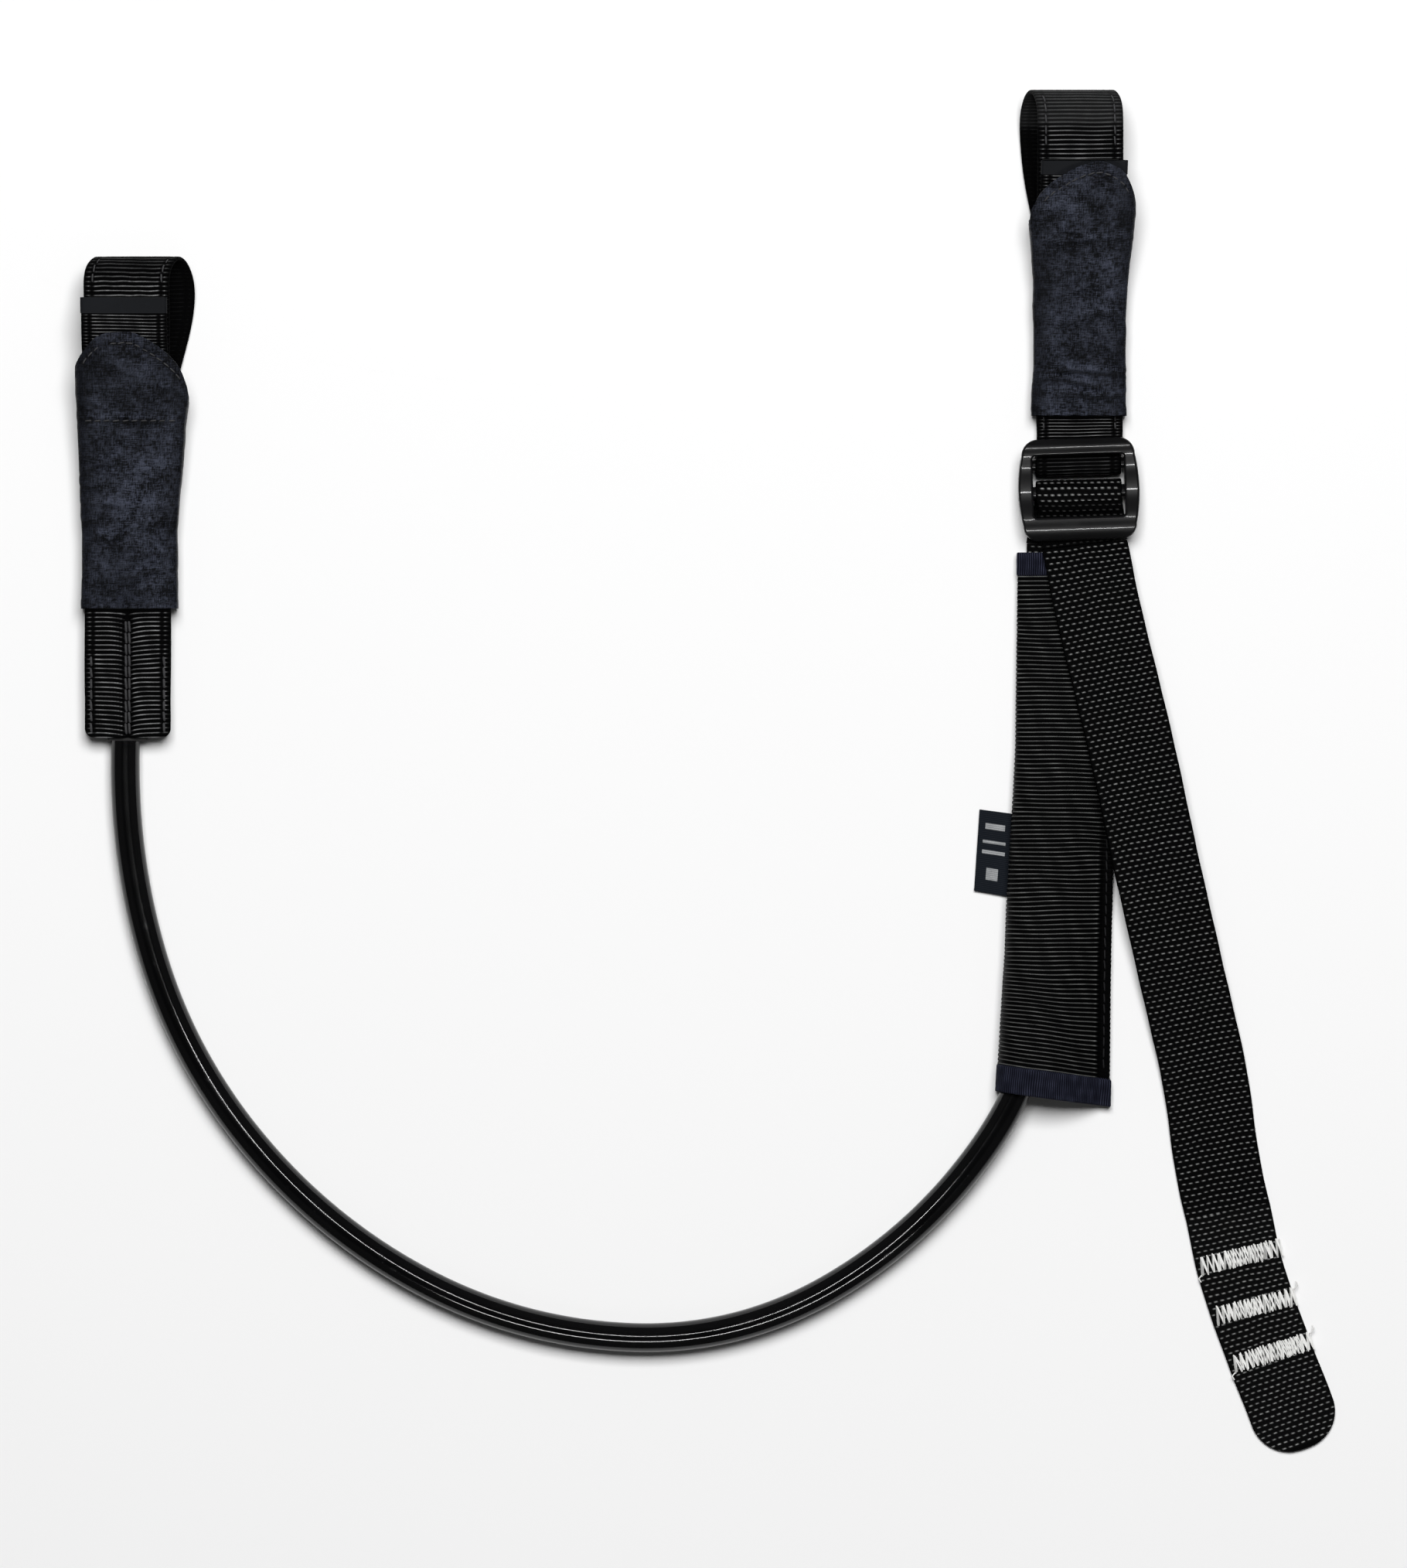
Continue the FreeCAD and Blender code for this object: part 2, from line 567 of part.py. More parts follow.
def make_flap_seal(flap_route, end_y):
    """Heat-sealed band on a flap's free end, lying on the flap's upper face."""
    curve = spline(flap_route)
    samples = [p for p in curve.discretize(Number=300) if end_y - SEAL_LENGTH <= p.y]
    first, last = samples[0], samples[-1]
    ends = [(first.x, first.y, first.z), (last.x, last.y, last.z)]
    middle = samples[len(samples) // 2]
    route = [ends[0], (middle.x, middle.y, middle.z), ends[1]]
    return ribbon(raised(route, WEB_THICK / 2 + SEAL_THICK / 2 + 0.01), WEB_WIDTH, SEAL_THICK, 5)


def seam_stitches():
    """Stitches beside the sleeve's seam."""
    made = []
    first_y, stitches = 52, 44
    for step in range(stitches):
        y = first_y - (LONG_STITCH + LONG_GAP) * step
        left, right, _ = sleeve_profile(y)
        made.append(stitch(V(right - SEAM_STITCH_INSET, y, EDGE_HEIGHT), V(0, 1, 0), V(0, 0, 1), LONG_STITCH))
    return Part.Compound(made)


def tongue_stitches(outline, profiles, inset):
    """Stitches round a sleeve's tongue, on its upper face."""
    curve = spline([(x, y - inset, 0) for x, y in outline])
    made = []
    for point, tangent in stations(curve, 22):
        made.append(stitch(V(point.x, point.y, crown_at(profiles, point.y)), tangent, V(0, 0, 1), 1.6))
    return Part.Compound(made[2:-2])


def crown_at(profiles, y):
    """Upper face of a ripstop sleeve at a given Y."""
    for low, high in zip(profiles, profiles[1:]):
        if low[0] <= y <= high[0]:
            share = (y - low[0]) / (high[0] - low[0])
            return low[3] + (high[3] - low[3]) * share + 0.35
    return profiles[-1][3]


def tape_on(route, step):
    """Hook-and-loop tape on a strand's upper face."""
    lift = WEB_THICK / 2 + TAPE_THICK / 2 + TAPE_CLEARANCE + step
    return ribbon(raised(route, lift), TAPE_WIDTH, TAPE_THICK, 30)


def left_strap():
    """The fixed boom strap: doubled over the rope's end, looped over the boom and closed by a flap."""
    route = placed(LEFT_BACK_AND_LOOP, LEFT_X)
    front = route[9:]
    covered = [point_at_y(front, LEFT_FLAP_END_Y)] + front[1:]
    flap = raised(covered, CLOSURE_STEP) + list(reversed(placed(LEFT_FLAP_FOOT, LEFT_X)))
    foot = list(reversed(flap[-2:]))
    lap = [foot[0], (LEFT_X, 23, foot[0][2]), foot[1]]
    return {
        "rope_left_flat": flat_rope(LEFT_FLAT_ROPE),
        "left_strap_webbing": ribbon(route, WEB_WIDTH, WEB_THICK, 72),
        "left_closure_flap": ribbon(flap, WEB_WIDTH, WEB_THICK, 44),
        "left_loop_tape": tape_on(covered, 0.0),
        "left_hook_tape": tape_on(covered, TAPE_THICK),
        "left_flap_seal": make_flap_seal(flap, LEFT_FLAP_END_Y),
        "left_end_stitching": stitch_rows(lap, WEB_THICK / 2, (-10.8, -1.5, 1.5, 10.8), LONG_STITCH, LONG_GAP,
                                          11.5, 36),
        "left_loop_stitching": stitch_rows(route[7:], WEB_THICK / 2, EDGE_STITCH_OFFSETS, LONG_STITCH,
                                           LONG_GAP, 139.5, 148.5),
        "left_ripstop_sleeve": make_ripstop(LEFT_SLEEVE_PROFILES, LEFT_TONGUE, 111.0, 9.2),
        "left_sleeve_stitching": tongue_stitches(LEFT_TONGUE, LEFT_SLEEVE_PROFILES, 1.6),
    }


def right_strap():
    """The boom strap that rides on the buckle's fixed bar."""
    route = right_strap_points()
    front = placed(RIGHT_LOOP_AND_FRONT, RIGHT_X)
    covered = [point_at_y(front[9:], RIGHT_FLAP_END_Y)] + [p for p in front[10:] if p[1] > 124]
    lap = [(RIGHT_X, 104, 3.2), (RIGHT_X, 101, 3.07), (RIGHT_X, 98, 2.97)]
    return {
        "right_strap_webbing": ribbon(route, WEB_WIDTH, WEB_THICK, 130, strap_across),
        "right_loop_tape": tape_on(covered, 0.0),
        "right_hook_tape": tape_on(covered, TAPE_THICK),
        "right_flap_seal": make_flap_seal(route[:5], RIGHT_FLAP_END_Y),
        "right_strap_stitching": stitch_rows(lap, WEB_THICK / 2, EDGE_STITCH_OFFSETS, 1.6, 0.6, 98, 104),
        "right_loop_stitching": stitch_rows(front[6:], WEB_THICK / 2, EDGE_STITCH_OFFSETS, LONG_STITCH,
                                            LONG_GAP, 180.5, 196),
        "right_ripstop_sleeve": make_ripstop(RIGHT_SLEEVE_PROFILES, RIGHT_TONGUE, 163.0, 9.2),
        "right_sleeve_stitching": tongue_stitches(RIGHT_TONGUE, RIGHT_SLEEVE_PROFILES, 1.6),
    }


def make_ripstop(profiles, tongue, base_y, split_z):
    """Loose ripstop sleeve over a closure, with its tongue over the flap."""
    return soft_tube(profiles, SLEEVE_WALL).cut(tongue_cutter(tongue, base_y, split_z))


def splice():
    """The rope's other end, and the grosgrain sleeve that covers it."""
    sleeve, top_binding, bottom_binding = make_sleeve()
    anchor, anchor_stitches = make_anchor()
    return {
        "rope_right_flat": flat_rope(RIGHT_FLAT_ROPE),
        "anchor_webbing": anchor,
        "anchor_stitching": anchor_stitches,
        "line_sleeve": sleeve,
        "sleeve_top_binding": top_binding,
        "sleeve_bottom_binding": bottom_binding,
        "sleeve_seam_stitching": seam_stitches(),
        "sleeve_label": make_label(),
    }


def adjuster():
    """Buckle and load webbing."""
    return {
        "ladder_lock_buckle": make_buckle(),
        "load_strand": make_load_strand(),
        "buckle_wrap_webbing": ribbon(wrap_points(), WEB_WIDTH, WEB_THICK, 46, wrap_across),
        "tail_middle": ribbon(TAIL_ROUTE, WEB_WIDTH, WEB_THICK, 40, tail_across),
        "tail_end": make_tail_end(),
        "tail_bar_tacks": make_tail_tacks(),
    }


def main():
    """Write one STEP file for each piece."""
    os.makedirs("parts", exist_ok=True)
    tube, rope = make_line()
    nodes = {"line_tube": tube, "line_rope": rope}
    for assembly in (left_strap(), right_strap(), splice(), adjuster()):
        nodes.update(assembly)
    for name, shape in nodes.items():
        if not shape.isValid() or any(solid.Volume <= 0 for solid in shape.Solids):
            print("check the shape of", name)
        shape.exportStep("parts/" + name + ".step")


main()
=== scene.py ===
"""Looks of an adjustable harness line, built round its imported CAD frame.

Every piece is made in millimetres in the frame's own axes, X across the line, Y along the straps
and Z up from the surface that the line lies on, and is scaled to metres as its mesh is written.
"""
import logging
import math
from dataclasses import dataclass
from enum import Enum
from typing import Callable, Sequence

import bpy
import numpy as np
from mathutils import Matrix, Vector


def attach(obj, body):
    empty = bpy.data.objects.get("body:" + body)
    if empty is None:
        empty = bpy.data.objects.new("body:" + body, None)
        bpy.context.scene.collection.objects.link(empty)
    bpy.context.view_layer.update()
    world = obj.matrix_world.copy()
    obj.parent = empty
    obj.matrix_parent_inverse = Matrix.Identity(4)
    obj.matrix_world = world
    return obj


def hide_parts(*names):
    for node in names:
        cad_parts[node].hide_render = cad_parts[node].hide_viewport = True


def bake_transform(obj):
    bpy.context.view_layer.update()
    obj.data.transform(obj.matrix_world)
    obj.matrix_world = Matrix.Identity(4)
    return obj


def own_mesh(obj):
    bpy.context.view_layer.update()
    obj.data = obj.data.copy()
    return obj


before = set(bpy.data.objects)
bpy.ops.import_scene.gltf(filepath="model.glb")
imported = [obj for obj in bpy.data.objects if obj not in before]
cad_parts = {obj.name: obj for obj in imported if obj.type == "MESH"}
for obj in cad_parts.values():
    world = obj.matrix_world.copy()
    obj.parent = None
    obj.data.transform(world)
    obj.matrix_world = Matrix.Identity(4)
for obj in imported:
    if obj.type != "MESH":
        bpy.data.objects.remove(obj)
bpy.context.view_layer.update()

LOG = logging.getLogger("harness_line")
MM = 0.001
Point = tuple[float, float, float]
Colour = tuple[float, float, float]

WEB_WIDTH, WEB_THICK = 25.0, 1.3
TAPE_THICK = 0.5
CLOSURE_STEP = WEB_THICK + 2 * TAPE_THICK + 0.2
LEFT_X, RIGHT_X = -168.3, 108.6
BUCKLE_TURN, BUCKLE_X, BUCKLE_Y = 1.9, 108.4, 82.2
SLEEVE_LEAN = 1.36

LINE_ROUTE: tuple[Point, ...] = (
    (-169, 9, 4.3), (-170, -24, 4.3), (-152, -84, 4.3), (-111, -133, 4.3), (-55, -163, 4.3),
    (9, -166, 4.3), (64, -134, 4.3), (100, -81, 6.7), (98, -48, 6.8),
)
LEFT_BACK_AND_LOOP: tuple[Point, ...] = (
    (0.0, 10, 2.25), (0.0, 50, 2.25), (0.0, 92, 2.25), (1.2, 110, 1.7), (4.6, 124, 1.0),
    (6.8, 137, 1.5), (6.0, 145.5, 4.4), (3.4, 149.2, 8.6), (0.8, 146.6, 12.6), (0.0, 139.6, 14.1),
    (0.0, 130, 13.1), (0.0, 118, 9.9), (0.0, 106, 6.6), (0.0, 95, 4.7), (0.0, 82, 3.95), (0.0, 60, 3.95),
)
LEFT_FLAP_FOOT: tuple[Point, ...] = ((0.0, 36, 6.25), (0.0, 10, 6.25))
RIGHT_LOOP_AND_FRONT: tuple[Point, ...] = (
    (0.0, 115, 1.45), (0.0, 140, 1.45), (-0.5, 156, 1.4), (-3.4, 171, 1.1), (-5.0, 185.5, 1.6),
    (-4.4, 193.8, 4.6), (-2.4, 197.6, 8.9), (-0.6, 195.2, 13.0), (0.0, 188.3, 14.7), (0.0, 178, 13.8),
    (0.0, 166, 10.7), (0.0, 154, 6.9), (0.0, 143, 4.1), (0.0, 132, 3.15), (0.0, 120, 3.15),
)
RIGHT_FLAP_FOOT: tuple[Point, ...] = (
    (0.0, 116, 4.75), (0.0, 104, 3.2), (0.0, 97.8, 2.95), (0.0, 94.0, 3.7),
)
TAIL_ROUTE: tuple[Point, ...] = (
    (110.1, 66.0, 3.95), (111.0, 61.5, 5.15), (112.7, 53, 6.05), (116.2, 38, 6.7), (125.3, -1, 7.4),
    (133.5, -38, 6.4), (140.5, -68, 3.4), (145.9, -94, 1.3), (149.0, -114, 0.7), (151.9, -128.0, 0.65),
)
TAIL_END_ROUTE: tuple[Point, ...] = (
    (151.9, -128.02, 0.65), (155.2, -143, 0.65), (160.2, -158.5, 0.65), (166.0, -174.5, 0.65),
    (171.4, -188.5, 0.65), (174.4, -197.0, 0.65),
)


class Weave(Enum):
    """How a strap's surface stands up."""

    RIBBED = "ribs across the strap"
    FLOATS = "short floats in staggered rows"
    PLAIN = "smooth"


# ---------------------------------------------------------------- shader maths


class Term:
    """One output socket, with Python's operators adding Math nodes."""

    def __init__(self, sheet: "ShaderSheet", socket: bpy.types.NodeSocket) -> None:
        """Keep the socket and the sheet that it is on."""
        self.sheet, self.socket = sheet, socket

    def _math(self, operation: str, *values: object) -> "Term":
        """Add a Math node on this term and the given values."""
        return self.sheet.node("ShaderNodeMath", {"operation": operation}, dict(enumerate(values)))

    def __add__(self, other: object) -> "Term":
        """Sum."""
        return self._math("ADD", self, other)

    __radd__ = __add__

    def __mul__(self, other: object) -> "Term":
        """Product."""
        return self._math("MULTIPLY", self, other)

    __rmul__ = __mul__

    def __sub__(self, other: object) -> "Term":
        """Difference."""
        return self._math("SUBTRACT", self, other)

    def __rsub__(self, other: object) -> "Term":
        """Difference from a number."""
        return self._math("SUBTRACT", other, self)

    def __pow__(self, other: object) -> "Term":
        """Power."""
        return self._math("POWER", self, other)

    def __rpow__(self, other: object) -> "Term":
        """Power of a number."""
        return self._math("POWER", other, self)

    def __gt__(self, other: object) -> "Term":
        """1 where this term is greater."""
        return self._math("GREATER_THAN", self, other)

    def __lt__(self, other: object) -> "Term":
        """1 where this term is less."""
        return self._math("LESS_THAN", self, other)

    def clamped(self) -> "Term":
        """Kept between 0 and 1."""
        return self.sheet.node("ShaderNodeClamp", {}, {"Value": self}, "Result")

    def wave(self) -> "Term":
        """Sine."""
        return self._math("SINE", self)

    def size(self) -> "Term":
        """Absolute value."""
        return self._math("ABSOLUTE", self)


class ShaderSheet:
    """A node tree, with one method that adds any node."""

    def __init__(self, owner: bpy.types.Material | bpy.types.World, shader: str) -> None:
        """Turn on the nodes of a material or a sky.

        Args:
            owner: the new material or sky.
            shader: the name of its main shader's node.
        """
        owner.use_nodes = True
        self.owner = owner
        self.tree = owner.node_tree
        self.shader = self.tree.nodes[shader]

    @classmethod
    def surface(cls, name: str) -> "ShaderSheet":
        """The sheet of a new material."""
        return cls(bpy.data.materials.new(name), "Principled BSDF")

    def node(self, kind: str, settings: dict, inputs: dict, output: str | int = 0) -> Term:
        """Add a node.

        Args:
            kind: the node's type.
            settings: its properties, set first.
            inputs: values or terms by the name, number or identifier of the socket.
            output: which output to return.

        Returns:
            The output as a term.
        """
        made = self.tree.nodes.new(kind)
        for key, value in settings.items():
            setattr(made, key, value)
        for key, value in inputs.items():
            self.feed(self.socket(made.inputs, key), value)
        return Term(self, self.socket(made.outputs, output))

    @staticmethod
    def socket(sockets: bpy.types.bpy_prop_collection, key: str | int) -> bpy.types.NodeSocket:
        """The socket with a number, a name or an identifier."""
        if isinstance(key, int):
            return sockets[key]
        return next(socket for socket in sockets if key in (socket.identifier, socket.name))

    def feed(self, socket: bpy.types.NodeSocket, value: object) -> None:
        """Link a term to a socket, or set a plain value on it."""
        if isinstance(value, Term):
            self.tree.links.new(value.socket, socket)
        else:
            socket.default_value = value

    def attribute(self, name: str) -> Term:
        """A value that the mesh stores for each point."""
        return self.node("ShaderNodeAttribute", {"attribute_name": name}, {}, "Fac")

    def place(self) -> Term:
        """Object coordinates."""
        return self.node("ShaderNodeTexCoord", {}, {}, "Object")

    def along_cloth(self) -> tuple[Term, Term, Term]:
        """The cloth's own coordinates in millimetres: as a vector, across and along."""
        vector = self.node("ShaderNodeUVMap", {"uv_map": "cloth"}, {})
        across = self.node("ShaderNodeSeparateXYZ", {}, {0: vector}, "X")
        along = self.node("ShaderNodeSeparateXYZ", {}, {0: vector}, "Y")
        return vector, across, along

    def stretched(self, vector: Term, factors: tuple[float, float, float]) -> Term:
        """A vector multiplied axis by axis."""
        return self.node("ShaderNodeVectorMath", {"operation": "MULTIPLY"}, {0: vector, 1: factors})

    def noise(self, vector: Term, scale: float, detail: float = 3.0) -> Term:
        """Noise texture's grey value."""
        return self.node("ShaderNodeTexNoise", {}, {"Vector": vector, "Scale": scale, "Detail": detail})

    def mix(self, factor: object, low: Sequence[float], high: Sequence[float]) -> Term:
        """Colour between two colours."""
        colours = {"Factor_Float": factor, "A_Color": (*low, 1.0), "B_Color": (*high, 1.0)}
        return self.node("ShaderNodeMix", {"data_type": "RGBA"}, colours, "Result_Color")

    def bump(self, height: Term, strength: float, distance: float) -> Term:
        """Normal that a height bends."""
        return self.node("ShaderNodeBump", {}, {"Height": height, "Strength": strength, "Distance": distance})

    def finished(self, **values: object) -> bpy.types.Material | bpy.types.World:
        """Feed the main shader.

        Args:
            values: values or terms by the name of the socket, with underscores for its spaces.

        Returns:
            The finished material or sky.
        """
        for key, value in values.items():
            self.feed(self.shader.inputs[key.replace("_", " ")], value)
        return self.owner


# ---------------------------------------------------------------- finishes


@dataclass(frozen=True)
class Webbing:
    """Woven strap: dark grooves, crests painted paler as a glint (on the label, its pale thread), fine yarn
    lines.
    """

    name: str
    groove: Colour
    crest: Colour
    crest_power: float = 2.2
    roughness: float = 0.55
    yarn_per_mm: float = 2.4
    shine: float = 0.025

    def material(self) -> bpy.types.Material:
        """Build the material."""
        sheet = ShaderSheet.surface(self.name)
        vector, across, along = sheet.along_cloth()
        relief = sheet.attribute("relief")
        patches = sheet.noise(vector, 0.35, 4.0)
        grain = sheet.noise(vector, 5.0, 2.0)
        # painted glint on the crests of webbing, grosgrain and binding; on the label this is the pale thread
        # of its bars
        glint_and_thread = (relief ** self.crest_power) * (0.62 + 0.6 * patches) * (0.4 + 1.2 * grain)
        yarn = (across * (2 * math.pi * self.yarn_per_mm) + along * 2.2).wave()
        height = yarn * 0.5 + grain
        return sheet.finished(
            Base_Color=sheet.mix(glint_and_thread.clamped(), self.groove, self.crest),
            Roughness=(self.roughness + 0.25 * (patches - 0.5)).clamped(),
            Normal=sheet.bump(height, 0.5, 0.00006),
            Specular_IOR_Level=self.shine,
        )


@dataclass(frozen=True)
class Ripstop:
    """Thin coated cloth with a fine grid, and a soft sheen and shade painted into its colour.

    The grid's and the twill's spacing are in millimetres, and the warp's and the weft's speckles are as
    many to the millimetre, across and along.
    """

    GRID, TWILL = 1.25, 0.42
    WARP, WEFT = (3.4, 0.55, 1.0), (0.5, 3.0, 1.0)

    name: str
    dark: Colour = (0.0018, 0.0021, 0.0030)
    pale: Colour = (0.048, 0.054, 0.077)

    def material(self) -> bpy.types.Material:
        """Build the material."""
        sheet = ShaderSheet.surface(self.name)
        vector, across, along = sheet.along_cloth()
        lines = [((part * (math.pi / self.GRID)).wave().size() ** 14) for part in (across, along)]
        ripstop = lines[0] + lines[1]
        twill = ((across + along) * (math.pi / self.TWILL)).wave() * 0.5
        cloth = sheet.noise(vector, 0.16, 5.0)
        rumple = sheet.noise(vector, 0.45, 4.0)
        warp, weft = (sheet.noise(sheet.stretched(vector, way), 1.0) for way in (self.WARP, self.WEFT))
        speckle = (warp + weft) * 0.5
        weave = speckle * 3.4 + cloth * 1.5 + rumple * 0.9 - 2.66 + 0.1 * ripstop + 0.06 * twill
        # the relief attribute multiplies in the sleeve's painted sheen and shade
        tone = weave.clamped() * sheet.attribute("relief")
        return sheet.finished(
            Base_Color=sheet.mix(tone.clamped(), self.dark, self.pale),
            Roughness=(0.52 - 0.2 * (cloth - 0.5)).clamped(),
            Normal=sheet.bump(twill + ripstop + speckle * 2.0 + rumple * 9.0, 0.6, 0.00008),
            Specular_IOR_Level=0.1,
        )


@dataclass(frozen=True)
class Moulded:
    """Moulded or extruded polymer with a fine surface and light wear."""

    name: str
    body: Colour
    worn: Colour
    roughness: float
    coat: float
    grain_scale: float = 900.0
    grain_depth: float = 0.00001
    shine: float = 0.5

    def material(self) -> bpy.types.Material:
        """Build the material."""
        sheet = ShaderSheet.surface(self.name)
        place = sheet.place()
        clouds = sheet.noise(place, 60.0, 4.0)
        grain = sheet.noise(place, self.grain_scale, 2.0)
        scuffs = (sheet.noise(place, 260.0, 5.0) > 0.64) * 0.5
        return sheet.finished(
            Base_Color=sheet.mix((clouds * 0.6 + scuffs * 0.3).clamped(), self.body, self.worn),
            Roughness=(self.roughness + 0.12 * (clouds - 0.5) + 0.1 * scuffs).clamped(),
            Normal=sheet.bump(grain, 0.35, self.grain_depth),
            Coat_Weight=(self.coat * (1 - 0.3 * scuffs)).clamped() if self.coat else 0.0,
            Coat_Roughness=0.06,
            Specular_IOR_Level=self.shine,
        )


@dataclass(frozen=True)
class Thread:
    """Twisted sewing thread or rope."""

    name: str
    dark: Colour
    pale: Colour
    roughness: float = 0.6

    def material(self) -> bpy.types.Material:
        """Build the material."""
        sheet = ShaderSheet.surface(self.name)
        place = sheet.place()
        twist = sheet.noise(place, 2600.0, 3.0)
        tone = sheet.noise(place, 420.0, 3.0)
        return sheet.finished(
            Base_Color=sheet.mix((twist * 0.5 + tone * 0.5).clamped(), self.dark, self.pale),
            Roughness=(self.roughness + 0.2 * (tone - 0.5)).clamped(),
            Normal=sheet.bump(twist, 0.5, 0.0001),
            Specular_IOR_Level=0.15,
        )


@dataclass(frozen=True)
class PlainFloor:
    """Pale matt surface."""

    name: str = "pale_floor"
    colour: Colour = (0.93, 0.93, 0.93)

    def material(self) -> bpy.types.Material:
        """Build the material."""
        return ShaderSheet.surface(self.name).finished(Base_Color=(*self.colour, 1.0), Roughness=0.7)


class Finishes:
    """Every finish of the line, each built once."""

    def __init__(self) -> None:
        """Build the materials."""
        # The pale crest colours of the webbing and grosgrain are painted glints on their ribs and floats.
        black, grey = (0.0008, 0.0008, 0.0009), (0.42, 0.425, 0.43)
        self.ribbed = Webbing("ribbed_webbing", black, grey, 8.0).material()
        self.floats = Webbing("float_webbing", black, (0.34, 0.345, 0.34), 2.6, 0.5).material()
        self.grosgrain = Webbing("grosgrain", black, (0.21, 0.215, 0.21), 7.5).material()
        # the binding's pale crest colour is a painted glint on its ribs
        navy, glint_navy = (0.0028, 0.003, 0.006), (0.042, 0.046, 0.074)
        self.binding = Webbing("binding_tape", navy, glint_navy, 2.0, 0.6, 3.2).material()
        ink, thread = (0.006, 0.008, 0.012), (0.42, 0.43, 0.44)
        self.label = Webbing("woven_label", ink, thread, 2.4, 0.6, 3.0).material()
        melted, scuffed = (0.004, 0.0044, 0.0052), (0.015, 0.0165, 0.02)
        self.seal = Moulded("heat_sealed_end", melted, scuffed, 0.6, 0.0, shine=0.12).material()
        self.tape = Thread("hook_and_loop", (0.004, 0.004, 0.004), (0.02, 0.02, 0.02), 0.85).material()
        self.black_thread = Thread("black_thread", (0.009, 0.009, 0.0095), (0.09, 0.09, 0.094)).material()
        # a darker copy of the black thread, as painted shade for the seam in the fold's dark band
        self.shaded_seam_thread = Thread("shaded_seam_thread", (0.004, 0.004, 0.0045), (0.022, 0.022, 0.023)).material()
        self.white_thread = Thread("white_thread", (0.7, 0.7, 0.68), (0.97, 0.97, 0.95)).material()
        self.rope = Thread("rope_braid", (0.01, 0.01, 0.01), (0.04, 0.04, 0.04)).material()
        self.ripstop = Ripstop("ripstop").material()
        deep, rubbed = (0.0016, 0.0016, 0.0018), (0.004, 0.004, 0.0045)
        self.tube = Moulded("glossy_tube", deep, rubbed, 0.1, 0.0, grain_depth=0.000003,
                            shine=0.42).material()
        satin, worn = (0.0025, 0.0025, 0.0028), (0.007, 0.007, 0.0075)
        self.buckle = Moulded("satin_acetal", satin, worn, 0.32, 0.4, grain_depth=0.000005,
                              shine=0.22).material()


# ---------------------------------------------------------------- routes and skins


def turned(degrees: np.ndarray | float) -> np.ndarray:
    """Unit vectors along X, turned about Z by each angle."""
    angle = np.radians(np.atleast_1d(degrees))
    return np.stack([np.cos(angle), np.sin(angle), np.zeros_like(angle)], axis=1)


def eased(value: np.ndarray, low: float, high: float) -> np.ndarray:
    """0 below low, 1 above high, smooth between."""
    share = np.clip((value - low) / (high - low), 0.0, 1.0)
    return share * share * (3 - 2 * share)


def placed(points: Sequence[Point], x: float) -> list[Point]:
    """Strap points moved to the strap's own X."""
    return [(x + dx, y, z) for dx, y, z in points]


def drifted(points: Sequence[Point], drift: float, low_y: float, high_y: float) -> list[Point]:
    """Points moved sideways, not at all at one value of Y and fully at another."""
    return [(x + drift * min(max((y - low_y) / (high_y - low_y), 0), 1), y, z) for x, y, z in points]


